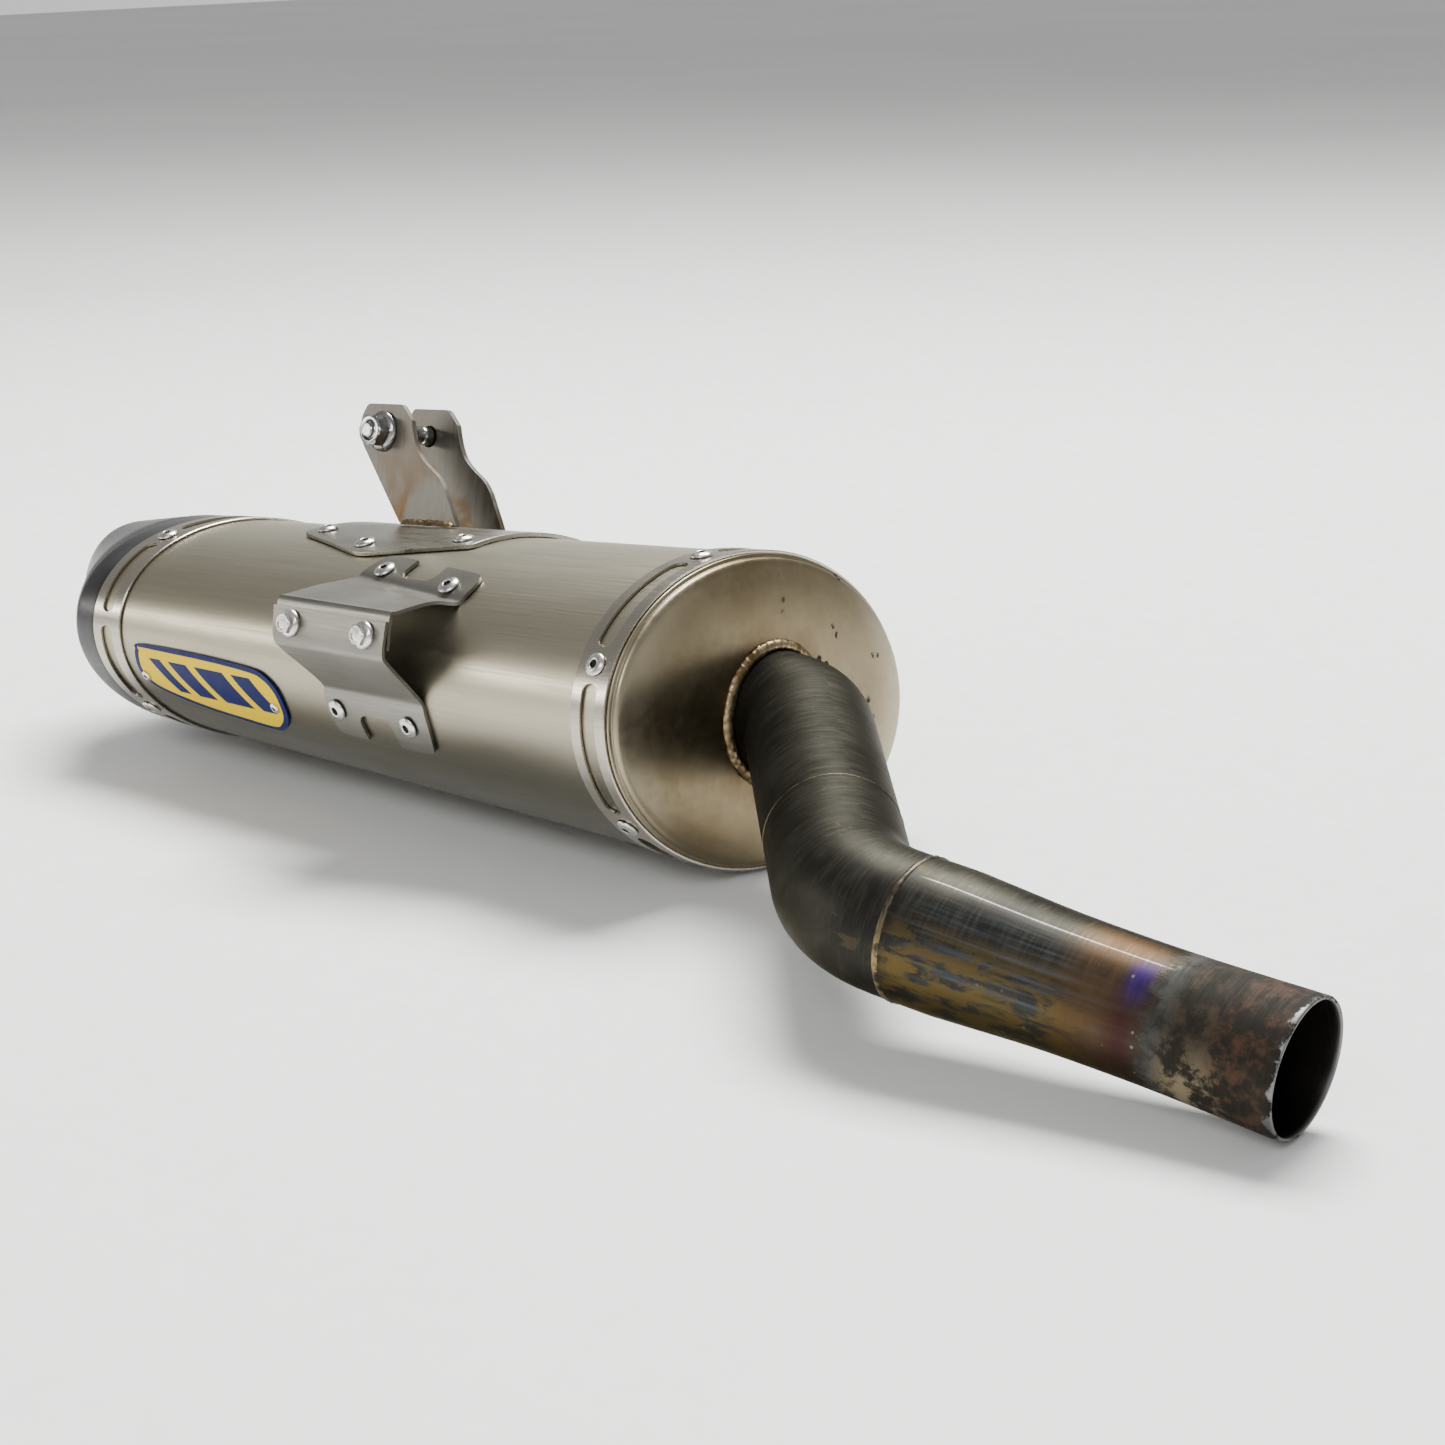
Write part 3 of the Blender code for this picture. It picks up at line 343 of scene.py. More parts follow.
def clevis_material():
    """Satin stainless with straw and brown heat blotches towards the weld."""
    s = Shader("clevis_stainless", Metallic=1.0)
    height = s.axis(2, uv=False)
    fine = s.noise((260.0, 260.0, 30.0), 3.0, 0.6)
    blotch = s.noise(42.0, 4.0, 0.6, 0.5)
    base = s.mix(s.remap(fine, 0.3, 0.7), (0.115, 0.108, 0.092), (0.17, 0.160, 0.138))
    low = s.remap(height, 0.062, 0.098, 1.0, 0.15)
    base = s.mix(s.times(low, s.remap(blotch, 0.46, 0.62, 0.0, 0.8)), base, (0.115, 0.068, 0.032))
    base = s.mix(s.times(low, s.remap(blotch, 0.62, 0.72, 0.0, 0.6)), base, (0.055, 0.038, 0.028))
    rough = s.remap(fine, 0.25, 0.75, 0.42, 0.52)
    return s.done(base, rough, fine, 0.05, 0.0001)


def bolt_material():
    s = Shader("zinc_fasteners", Metallic=1.0)
    grain = s.noise(500.0, 3.0, 0.6)
    tone = s.noise(120.0, 3.0, 0.5)
    base = s.mix(s.remap(tone, 0.35, 0.65), (0.20, 0.20, 0.205), (0.40, 0.40, 0.39))
    return s.done(base, s.remap(grain, 0.3, 0.7, 0.15, 0.27), grain, 0.08, 0.0001)


def rivet_material():
    s = Shader("rivet_heads", Metallic=1.0)
    grain = s.noise(600.0, 3.0, 0.6)
    tone = s.noise(160.0, 2.0, 0.5)
    base = s.mix(s.remap(tone, 0.3, 0.7), (0.50, 0.48, 0.45), (0.72, 0.70, 0.67))
    return s.done(base, s.remap(grain, 0.3, 0.7, 0.20, 0.34), grain, 0.08, 0.0001)


# Near-black painted shade for the inside of the rivets' hollows.
def bore_shade_material():
    s = Shader("rivet_bore_shade", Metallic=0.3)
    grain = s.noise(500.0, 2.0, 0.5)
    base = s.mix(grain, (0.008, 0.008, 0.008), (0.02, 0.018, 0.016))
    return s.done(base, s.remap(grain, 0.3, 0.7, 0.6, 0.8))


def tail_material():
    """Satin black cap with fine moulded grain and pale scuffs."""
    s = Shader("satin_black_tail", Metallic=0.0, Specular_IOR_Level=0.45, Coat_Weight=0.08,
               Coat_Roughness=0.2)
    grain = s.noise(900.0, 2.0, 0.5)
    wear = s.noise(35.0, 5.0, 0.65)
    base = s.mix(s.remap(wear, 0.45, 0.7, 0.0, 1.0), (0.0035, 0.0038, 0.004), (0.010, 0.0105, 0.011))
    rough = s.plus(s.remap(grain, 0.3, 0.7, 0.30, 0.38), s.remap(wear, 0.5, 0.75, 0.0, 0.14))
    return s.done(base, rough, grain, 0.12, 0.0001)


def paint_material(name, tone, worn):
    s = Shader(name, Metallic=0.0, Specular_IOR_Level=0.1)
    grain = s.noise(700.0, 2.0, 0.5)
    wear = s.noise(80.0, 5.0, 0.65)
    base = s.mix(s.remap(wear, 0.55, 0.72, 0.0, 0.55), tone, worn)
    return s.done(base, s.remap(wear, 0.3, 0.7, 0.36, 0.5), grain, 0.05, 0.0001)


def wool_material():
    s = Shader("glass_wool", Metallic=0.0)
    strands = s.noise((90.0, 600.0, 600.0), 5.0, 0.7, 1.0)
    base = s.mix(s.remap(strands, 0.35, 0.7), (0.55, 0.50, 0.40), (0.86, 0.84, 0.76))
    return s.done(base, s.remap(strands, 0.3, 0.7, 0.85, 0.98), strands, 0.6, 0.001)


def floor_material():
    s = Shader("pale_floor", Metallic=0.0)
    cloud = s.noise(1.3, 3.0, 0.5)
    grain = s.noise(90.0, 3.0, 0.6)
    base = s.mix(s.remap(cloud, 0.3, 0.7), (0.86, 0.87, 0.865), (0.91, 0.915, 0.91))
    return s.done(base, s.remap(grain, 0.3, 0.7, 0.42, 0.55), grain, 0.02, 0.0002)


MATERIALS = {
    "sleeve": sleeve_material(),
    "cap": cap_material(),
    "band": sheet_metal("satin_band", (0.38, 0.350, 0.29), (0.50, 0.465, 0.40), 0.18, 0.28),
    "tail": tail_material(),
    "pipe": pipe_material(),
    "weld": weld_material(),
    "seam": seam_material(),
    "clevis": clevis_material(),
    "saddle": sheet_metal("saddle_steel", (0.31, 0.295, 0.25), (0.41, 0.39, 0.34), 0.22, 0.34),
    "bracket": sheet_metal("bracket_steel", (0.185, 0.178, 0.158), (0.26, 0.250, 0.222), 0.32, 0.42),
    "zinc": bolt_material(),
    "rivet": rivet_material(),
    "bore_shade": bore_shade_material(),
    "yellow": paint_material("yellow_field", (0.66, 0.46, 0.0), (0.58, 0.38, 0.0)),
    "navy": paint_material("navy_border", (0.004, 0.008, 0.07), (0.02, 0.025, 0.09)),
    "inner": sheet_metal("inner_steel", (0.26, 0.24, 0.21), (0.36, 0.34, 0.30), 0.34, 0.48,
                         (0.12, 0.10, 0.08)),
    "packing": wool_material(),
}


# ---------------------------------------------------------------- mesh helpers

def linked(name, data):
    obj = bpy.data.objects.new(name, data)
    bpy.context.collection.objects.link(obj)
    return obj


def mesh_of(name, bm):
    """A mesh in metres, faces outwards, from a bmesh in millimetres."""
    bmesh.ops.scale(bm, vec=(MM, MM, MM), verts=bm.verts)
    bmesh.ops.recalc_face_normals(bm, faces=bm.faces)
    mesh = bpy.data.meshes.new(name)
    bm.to_mesh(mesh)
    bm.free()
    return mesh


def add_piece(name, bm, mats, nodes=(), body="muffler", turn=None, smooth=38.0):
    """Turn a bmesh in millimetres of the can's frame into a piece that rides on a body."""
    mesh = mesh_of(name, bm)
    for mat in mats.split():
        mesh.materials.append(MATERIALS[mat])
    mesh.shade_smooth()
    mesh.set_sharp_from_angle(angle=math.radians(smooth))
    mesh.transform(in_world(turn))
    return hang(name, mesh, nodes, body)


def in_world(turn):
    """Matrix from a frame in the can's millimetres to the row frame."""
    if turn is None:
        return CAN
    return CAN @ Matrix.Translation(turn.translation * MM) @ turn.to_3x3().to_4x4()


def hang(name, mesh, nodes, body="muffler", place=None):
    obj = linked(name, mesh)
    if place is not None:
        obj.matrix_world = place
    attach(obj, body)
    if nodes:
        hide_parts(*nodes)
    return obj


def bevel(obj, width):
    """Soften a piece's hard edges, after any cut it already carries."""
    mod = obj.modifiers.new("soften", "BEVEL")
    mod.width = width * MM
    mod.segments = 2
    mod.limit_method = "ANGLE"
    mod.angle_limit = math.radians(50.0)
    mod.use_clamp_overlap = True
    mod.harden_normals = True


def carve(obj, cutters):
    """Cut shapes out of a piece for good, then throw the cutters away."""
    for cutter in cutters:
        mod = obj.modifiers.new("cut", "BOOLEAN")
        mod.operation = "DIFFERENCE"
        mod.solver = "EXACT"
        mod.use_self = True
        mod.object = cutter
    bpy.context.view_layer.update()
    depsgraph = bpy.context.evaluated_depsgraph_get()
    mesh = bpy.data.meshes.new_from_object(obj.evaluated_get(depsgraph))
    obj.modifiers.clear()
    obj.data = mesh
    for cutter in cutters:
        bpy.data.objects.remove(cutter, do_unlink=True)


def cutter_from(bm, turn=None):
    mesh = mesh_of("cutter", bm)
    mesh.transform(in_world(turn))
    return linked("cutter", mesh)


def skin(rings, closed):
    """Skin equal rings with a surface map in metres: first value along the run, second around it."""
    bm = bmesh.new()
    layer = bm.loops.layers.uv.new("surface")
    rows = [[bm.verts.new(point) for point in ring] for ring in rings]
    count = len(rows[0])
    along = [0.0]
    for first, second in zip(rings, rings[1:] + rings[:1]):
        step = sum((Vector(a) - Vector(b)).length for a, b in zip(first, second)) / count
        along.append(along[-1] + step * MM)
    around = [0.0]
    widest = max(rings, key=lambda ring: (Vector(ring[0]) - Vector(ring[count // 2])).length)
    for a, b in zip(widest, widest[1:] + widest[:1]):
        around.append(around[-1] + (Vector(a) - Vector(b)).length * MM)
    pairs = [(r, r + 1) for r in range(len(rows) - 1)]
    if closed:
        pairs.append((len(rows) - 1, 0))
    for r, after in pairs:
        for i in range(count):
            j = (i + 1) % count
            face = bm.faces.new((rows[r][i], rows[r][j], rows[after][j], rows[after][i]))
            maps = ((r, i), (r, i + 1), (r + 1, i + 1), (r + 1, i))
            for loop, (u, v) in zip(face.loops, maps):
                loop[layer].uv = (along[u], around[v])
    if not closed:
        for row in (rows[0], rows[-1]):
            face = bm.faces.new(row)
            for loop in face.loops:
                loop[layer].uv = (along[0], 0.0)
    return bm


def sheet(rows, far_rows):
    """A sheet between two equal grids of points, closed by a rim, with a surface map in metres."""
    bm = bmesh.new()
    layer = bm.loops.layers.uv.new("surface")
    last_row = len(rows) - 1
    last_col = len(rows[0]) - 1
    grids = [[[bm.verts.new(point) for point in row] for row in grid] for grid in (rows, far_rows)]
    place = {}
    for grid, source in zip(grids, (rows, far_rows)):
        for r in range(last_row + 1):
            climb = sum((Vector(source[k][0]) - Vector(source[k + 1][0])).length for k in range(r))
            for c in range(last_col + 1):
                reach = (Vector(source[r][c]) - Vector(source[r][0])).length
                place[grid[r][c]] = (reach * MM, climb * MM)

    def face(corners):
        made = bm.faces.new(corners)
        for loop in made.loops:
            loop[layer].uv = place[loop.vert]

    for grid in grids:
        for r in range(last_row):
            for c in range(last_col):
                face((grid[r][c], grid[r][c + 1], grid[r + 1][c + 1], grid[r + 1][c]))
    rim = [(0, c) for c in range(last_col)]
    rim += [(r, last_col) for r in range(last_row)]
    rim += [(last_row, c) for c in range(last_col, 0, -1)]
    rim += [(r, 0) for r in range(last_row, 0, -1)]
    near, far = grids
    for (r0, c0), (r1, c1) in zip(rim, rim[1:] + rim[:1]):
        face((near[r0][c0], near[r1][c1], far[r1][c1], far[r0][c0]))
    return bm


def prism(outline, low, high):
    """An outline of (a, b) points between two heights, as (a, b, height)."""
    bm = bmesh.new()
    layer = bm.loops.layers.uv.new("surface")
    rows = [[bm.verts.new((a, b, height)) for a, b in outline] for height in (low, high)]
    bm.faces.new(rows[0])
    bm.faces.new(rows[1])
    for i in range(len(outline)):
        j = (i + 1) % len(outline)
        bm.faces.new((rows[0][i], rows[0][j], rows[1][j], rows[1][i]))
    for face in bm.faces:
        for loop in face.loops:
            loop[layer].uv = (loop.vert.co.x * MM, loop.vert.co.y * MM)
    return bm


def half_sizes(x):
    share = -x / CAN_LENGTH
    return (FRONT_HALF[0] + (REAR_HALF[0] - FRONT_HALF[0]) * share,
            FRONT_HALF[1] + (REAR_HALF[1] - FRONT_HALF[1]) * share)


def on_can(x, degrees):
    width, height = half_sizes(x)
    angle = math.radians(degrees)
    return Vector((x, width * math.cos(angle), height * math.sin(angle)))


def can_normal(x, degrees):
    along = on_can(x + 1.0, degrees) - on_can(x - 1.0, degrees)
    around = on_can(x, degrees + 0.5) - on_can(x, degrees - 0.5)
    return around.cross(along).normalized()


def above_can(x, degrees, height):
    return on_can(x, degrees) + can_normal(x, degrees) * height


def can_stand(x, degrees, height):
    """Frame over the can: Z along the outward normal, X along the can towards the pipe."""
    normal = can_normal(x, degrees)
    along = (Vector((1.0, 0.0, 0.0)) - normal * normal.x).normalized()
    turn = Matrix((along, normal.cross(along), normal)).transposed().to_4x4()
    return Matrix.Translation(above_can(x, degrees, height)) @ turn


def oval_ring(x, width, height, slant=0.0, segments=OVAL_SEGMENTS):
    ring = []
    for i in range(segments):
        angle = math.tau * i / segments
        z = height * math.sin(angle)
        ring.append((x - slant * z, width * math.cos(angle), z))
    return ring


def can_ring(x, inset):
    width, height = half_sizes(x)
    return oval_ring(x, width - inset, height - inset)


def steps_between(low, high, count):
    return [low + (high - low) * k / count for k in range(count + 1)]


def through(points, per=4):
    """Smooth open chain through vectors, with a few more points between each pair."""
    points = [Vector(point) for point in points]
    padded = [2 * points[0] - points[1]] + points + [2 * points[-1] - points[-2]]
    chain = []
    for a, b, c, d in zip(padded, padded[1:], padded[2:], padded[3:]):
        for k in range(per):
            t = k / per
            chain.append(0.5 * (2 * b + (c - a) * t + (2 * a - 5 * b + 4 * c - d) * t ** 2
                                + (3 * b - a - 3 * c + d) * t ** 3))
    chain.append(points[-1])
    return chain


def round_corners(outline, radius, steps=3):
    """A closed outline of 2-D points with its corners cut back and arced."""
    result = []
    count = len(outline)
    for i in range(count):
        before, here, after = (Vector(outline[k % count]) for k in (i - 1, i, i + 1))
        back = before - here
        ahead = after - here
        cut = min(radius, 0.45 * back.length, 0.45 * ahead.length)
        start = here + back.normalized() * cut
        end = here + ahead.normalized() * cut
        for k in range(steps + 1):
            t = k / steps
            result.append(tuple((1 - t) ** 2 * start + 2 * t * (1 - t) * here + t ** 2 * end))
    return result


def turned(profile, segments=48):
    """Rings about Z from (z, round radius, half width across flats or 0)."""
    rings = []
    for z, radius, flat in profile:
        ring = []
        for i in range(segments):
            angle = math.tau * i / segments
            reach = radius
            if flat:
                reach = min(radius, flat / math.cos(angle % (math.pi / 3) - math.pi / 6))
            ring.append((reach * math.cos(angle), reach * math.sin(angle), z))
        rings.append(ring)
    return rings


# ---------------------------------------------------------------- can, bands and caps

def make_sleeve():
    stations = steps_between(2.0 - CAN_LENGTH, -2.0, 36)
    rings = [can_ring(x, SLEEVE_INSET) for x in stations]
    rings += [can_ring(x, SLEEVE_INSET + SHEET) for x in reversed(stations)]
    add_piece("sleeve_skin", skin(rings, True), "sleeve", ("sleeve",))


def slot_outline(start, end, middle):
    """Rows (degrees, rear x, front x) of a round-ended slot that runs round the can."""
    half = 4.0
    tip = math.degrees(half / (FRONT_HALF[0] * 0.85))
    ends = [(tip * (1 - math.cos(t)), half * math.sin(t)) for t in steps_between(0.12, math.pi / 2, 6)]
    rows = [(start + inward, middle - reach, middle + reach) for inward, reach in ends]
    count = max(3, round((end - start) / 2.0))
    for degrees in steps_between(start + tip, end - tip, count)[1:-1]:
        rows.append((degrees, middle - half, middle + half))
    rows += [(end - inward, middle - reach, middle + reach) for inward, reach in reversed(ends)]
    return rows


def patch(rows, low, high, columns=1):
    """A sheet on the can from rows of (degrees, rear x, front x), between two heights."""
    grids = []
    for height in (low, high):
        grids.append([[above_can(x, degrees, height) for x in steps_between(rear, front, columns)]
                      for degrees, rear, front in rows])
    return sheet(*grids)


def make_band(node, ends, rivets, bridges, middle):
    """Band with slots between its rivets and bridges, given as degrees round the can."""
    rear, front = ends
    edge = 0.35
    profile = [(rear, edge), (rear + edge, 0.0), (front - edge, 0.0), (front, edge), (front, SHEET),
               (rear, SHEET)]
    band = add_piece(node + "_skin", skin([can_ring(x, inset) for x, inset in profile], True), "band",
                     (node,))
    stops = sorted([(degrees, 6.5) for degrees in rivets] + [(degrees, 3.5) for degrees in bridges])
    stops.append((stops[0][0] + 360.0, stops[0][1]))
    cutters = []
    for first, second in zip(stops, stops[1:]):
        rows = slot_outline(first[0] + first[1], second[0] - second[1], middle)
        cutters.append(cutter_from(patch(rows, -2.5, 2.0)))
    carve(band, cutters)
    bevel(band, 0.22)


def make_inlet_cap():
    """Beaded rim, rolled shoulder and shallow dome that turns into the round pipe hole."""
    width, height = half_sizes(0.0)
    hole = PIPE_RADIUS + GAP

    def section(x, reach):
        share = max(0.0, (reach - 4.6) / (width - hole - 4.6))
        level = reach + (height - hole - (width - hole)) * share
        return oval_ring(x, width - reach, height - level)

    bead = [(-0.5, 2.4), (-0.55, 1.9), (-0.35, 1.5), (0.05, 1.25), (0.5, 1.2), (0.95, 1.3), (1.2, 1.6),
            (1.3, 2.3)]
    shoulder = [(1.45, 2.75), (1.75, 2.85), (2.2, 2.75), (2.8, 2.95), (3.4, 3.4), (3.95, 4.3), (4.35, 5.6),
                (4.75, 7.6), (5.35, 11.0), (6.1, 15.0), (6.85, 20.0), (7.6, 27.0), (8.15, 34.0), (8.5, 42.0),
                (8.6, 50.0), (8.6, width - hole)]
    rings = [can_ring(CAP_SPIGOT, CAP_INSET)] + [can_ring(x, inset) for x, inset in bead]
    rings += [section(x, reach) for x, reach in shoulder]
    back = [(CAP_FACE - CAP_SHEET, width - hole), (7.2, 42.0), (5.6, 20.0), (3.2, 8.0)]
    rings += [section(x, reach) for x, reach in back]
    rings += [can_ring(0.2, CAP_INSET + CAP_SHEET), can_ring(CAP_SPIGOT, CAP_INSET + CAP_SHEET)]
    add_piece("inlet_cap_skin", skin(rings, True), "cap", ("inlet_cap",), smooth=60.0)


def tail_ring(share, inset):
    collar = -CAN_LENGTH - COLLAR_LENGTH
    width, height = half_sizes(collar)
    x = collar - (TAIL_LENGTH - COLLAR_LENGTH) * share
    return oval_ring(x, width + (MOUTH_HALF[0] - width) * share - inset,
                     height + (MOUTH_HALF[1] - height) * share - inset, MOUTH_SLANT * share)


def make_tail():
    rear = -CAN_LENGTH
    spigot = rear + 21.0
    rings = [can_ring(spigot, CAP_INSET), can_ring(rear - GAP, CAP_INSET)]
    lip = [(0.3, 1.2), (0.45, 0.7), (0.8, 0.45), (1.3, 0.4), (4.0, 0.4), (8.0, 0.4), (12.0, 0.4), (13.0, 0.5)]
    rings += [can_ring(rear - back, inset) for back, inset in lip]
    rings += [tail_ring(0.0, 0.75), tail_ring(0.012, 1.1), tail_ring(0.03, 0.9)]
    rings += [tail_ring(share, 0.0) for share in (0.10, 0.25, 0.40, 0.55, 0.70, 0.85, 0.955)]
    rings += [tail_ring(0.985, 0.15), tail_ring(1.0, 0.6), tail_ring(1.0, TAIL_SHEET - 0.5),
              tail_ring(0.985, TAIL_SHEET)]
    rings += [tail_ring(share, TAIL_SHEET) for share in (0.75, 0.5, 0.25)]
    rings += [tail_ring(0.08, TAIL_SHEET + 2.2), can_ring(rear - 2.0, CAP_INSET + TAIL_SHEET),
              can_ring(spigot, CAP_INSET + TAIL_SHEET)]
    add_piece("tail_cap_skin", skin(rings, True), "tail", ("tail_cap",), smooth=60.0)


def round_ring(x, radius, slant=0.0):
    return oval_ring(x, radius, radius, slant, SPOUT_SEGMENTS)


def make_spout():
    """Slanted spout with a rolled lip, and the plate that closes the cone round it."""
    rear = -CAN_LENGTH - 46.0
    front = -CAN_LENGTH + 3.0 - GAP
    bore = SPOUT_RADIUS - CORE_WALL
    slant = 0.40
    rings = [round_ring(front, bore), round_ring(front, SPOUT_RADIUS)]
    for share in (0.3, 0.6, 0.85, 0.97):
        rings.append(round_ring(front + (rear - front) * share, SPOUT_RADIUS, slant * share))
    rings += [round_ring(rear, SPOUT_RADIUS - 0.2, slant), round_ring(rear - 0.2, SPOUT_RADIUS - 0.6, slant),
              round_ring(rear, bore + 0.2, slant)]
    for share in (0.97, 0.6, 0.3):
        rings.append(round_ring(front + (rear - front) * share, bore, slant * share))
    add_piece("tail_spout_skin", skin(rings, True), "inner", ("tail_spout",), smooth=50.0)
    share = 0.5
    thick = CORE_WALL / (TAIL_LENGTH - COLLAR_LENGTH)
    collar = -CAN_LENGTH - COLLAR_LENGTH
    reach = TAIL_LENGTH - COLLAR_LENGTH
    hole = SPOUT_RADIUS + GAP
    rings = [
        tail_ring(share, TAIL_SHEET + 2 * GAP),
        tail_ring(share + 0.03, TAIL_SHEET + 2.2),
        oval_ring(collar - reach * (share + 0.03), hole + 2.5, hole + 2.5, MOUTH_SLANT * share),
        oval_ring(collar - reach * share, hole, hole, MOUTH_SLANT * share),
        oval_ring(collar - reach * (share - thick), hole, hole, MOUTH_SLANT * (share - thick)),
        tail_ring(share - thick, TAIL_SHEET + 2 * GAP),
    ]
    add_piece("tail_plate_skin", skin(rings, True), "tail", ("tail_plate",), smooth=50.0)


# ---------------------------------------------------------------- rivets and other fasteners

def rivet_mesh():
    """Blind rivet: rounded flange, crown, hollow where the mandrel broke off with near-black painted shade
    inside, shank and bulb.
    """
    profile = [(-5.4, 1.8, 0), (-4.2, 2.9, 0), (-2.6, 2.3, 0), (0.0, 2.3, 0), (0.0, 4.6, 0), (0.25, 4.7, 0),
               (0.6, 4.55, 0), (0.95, 4.1, 0), (1.25, 3.5, 0), (1.5, 2.85, 0), (1.62, 2.35, 0),
               (1.58, 1.95, 0), (1.35, 1.7, 0), (0.5, 1.55, 0), (0.35, 0.6, 0)]
    bm = skin(turned(profile, 32), False)
    # Faces inside the hollow take the second slot, a near-black painted shade.
    for face in bm.faces:
        middle = face.calc_center_median()
        if middle.z > 0.3 and middle.xy.length < 1.66:
            face.material_index = 1
    mesh = mesh_of("rivet", bm)
    mesh.materials.append(MATERIALS["rivet"])
    mesh.materials.append(MATERIALS["bore_shade"])
    mesh.shade_smooth()
    mesh.set_sharp_from_angle(angle=math.radians(50.0))
    return mesh


def make_rivets():
    mesh = rivet_mesh()
    small = mesh.copy()
    small.transform(Matrix.Scale(0.55, 4))
    base = SLEEVE_LIFT
    spots = [(f"front_rivet_{k}", FRONT_RIVET_X, a, GAP) for k, a in enumerate(FRONT_RIVET_ANGLES)]
    spots += [(f"rear_rivet_{k}", REAR_RIVET_X, a, GAP) for k, a in enumerate(REAR_RIVET_ANGLES)]
    spots += [(f"bracket_rivet_{k}", x, a, base + BRACKET_SHEET + 2 * GAP)
              for k, (x, a) in enumerate(BRACKET_RIVETS)]
    number = 0
    for x, off_top in SADDLE_RIVETS:
        for side in (-1.0, 1.0):
            spots.append((f"saddle_rivet_{number}", x, 90.0 - side * off_top, base + SADDLE_SHEET + GAP))
            number += 1
    for node, x, degrees, height in spots:
        hang(node + "_head", mesh, (node,), place=in_world(can_stand(x, degrees, height)))
    for k, (x, degrees) in enumerate(PLATE_RIVETS):
        node = f"plate_rivet_{k}"
        stand = can_stand(x, degrees, base + PLATE_SHEET + GAP)
        hang(node + "_head", small, (node,), place=in_world(stand))


def thread(low, high, radius, pitch=1.25):
    """Profile points of a thread between two heights."""
    points = []
    turns = int((high - low) / pitch)
    for k in range(turns):
        z = low + k * pitch
        points += [(z + 0.15 * pitch, radius - 0.55, 0), (z + 0.45 * pitch, radius, 0),
                   (z + 0.60 * pitch, radius, 0), (z + 0.95 * pitch, radius - 0.55, 0)]
    return points


def to_corner(flat):
    """Half width of a hexagon across its corners from its half width across flats."""
    return flat / math.cos(math.pi / 6)


def hex_head(top, flat, flange):
    """Profile from the middle of a hex head's top face down to its flange's seat at z = 0."""
    corner = to_corner(flat)
    return [(-top + 0.5, 0.35 * flat, 0), (-top + 0.45, 0.62 * flat, 0), (-top, 0.70 * flat, 0),
            (-top, 0.90 * flat, 0), (-top + 0.25, 0.97 * flat, flat),
            (-top + 0.65, 0.55 * flat + 0.5 * corner, flat),
            (-top + 1.2, corner, flat), (-2.3, corner, flat), (-2.0, corner + 0.15, 0),
            (-1.6, 0.93 * flange, 0), (-1.0, 0.985 * flange, 0), (-0.5, flange, 0), (-0.1, 0.99 * flange, 0),
            (0.0, 0.96 * flange, 0)]


def make_clevis_bolt():
    seat = EAR_GAP / 2 + EAR_SHEET + GAP
    length = 2 * seat + 9.5
    profile = hex_head(8.0, 6.5, 8.95) + [(0.0, 4.0, 0), (7.0, 4.0, 0), (7.4, 3.9, 0)]
    profile += thread(8.0, length - 1.0, 4.0) + [(length - 0.4, 3.2, 0), (length, 2.6, 0)]
    x, _, z = BOLT_PLACE
    add_piece("clevis_bolt_fine", skin(turned(profile, 60), False), "zinc", ("clevis_bolt",), "bolt",
              Matrix.Translation((x, seat, z)) @ TOWARDS_BADGE, 32.0)
    height = 8.2
    corner = to_corner(6.5)
    bore = 4.0 + GAP
    profile = [(0.0, bore, 0), (0.0, 8.7, 0), (0.1, 8.9, 0), (0.5, 8.95, 0), (1.0, 8.8, 0), (1.6, 8.3, 0),
               (2.1, corner + 0.15, 0), (2.4, corner, 6.5), (height - 1.2, corner, 6.5),
               (height - 0.6, 7.05, 6.5), (height - 0.1, 6.3, 0), (height, 5.9, 0), (height, 4.9, 0),
               (height - 0.5, bore, 0)]
    add_piece("clevis_nut_fine", skin(turned(profile, 60), True), "zinc", ("clevis_nut",), "nut",
              Matrix.Translation((x, -seat, z)) @ TOWARDS_BADGE, 32.0)


def make_bracket_fasteners():
    tab = BRACKET_FACE_Y + 2 * BRACKET_SHEET + GAP
    corner = to_corner(5.0)
    for k, x in enumerate(BRACKET_BOLTS):
        profile = hex_head(4.8, 4.0, 5.75) + [(0.0, 3.0, 0)] + thread(1.0, 10.4, 3.0, 1.0) + [(11.0, 2.2, 0)]
        place = Matrix.Translation((x, BRACKET_FACE_Y - GAP, BRACKET_BOLT_Z)) @ FROM_BADGE
        add_piece(f"bracket_bolt_{k}_fine", skin(turned(profile), False), "rivet",
                  (f"bracket_bolt_{k}",), turn=place, smooth=32.0)
        profile = [(0.0, 3.3, 0), (0.0, 5.8, 0), (0.9, 6.0, 0), (1.6, corner, 5.0), (4.2, corner, 5.0),
                   (4.8, 5.1, 0), (5.0, 4.6, 0), (5.0, 3.3, 0)]
        place = Matrix.Translation((x, tab + GAP, BRACKET_BOLT_Z)) @ FROM_BADGE
        add_piece(f"bracket_nut_{k}_fine", skin(turned(profile), True), "zinc",
                  (f"bracket_nut_{k}",), turn=place, smooth=32.0)


# ---------------------------------------------------------------- inlet pipe and its welds

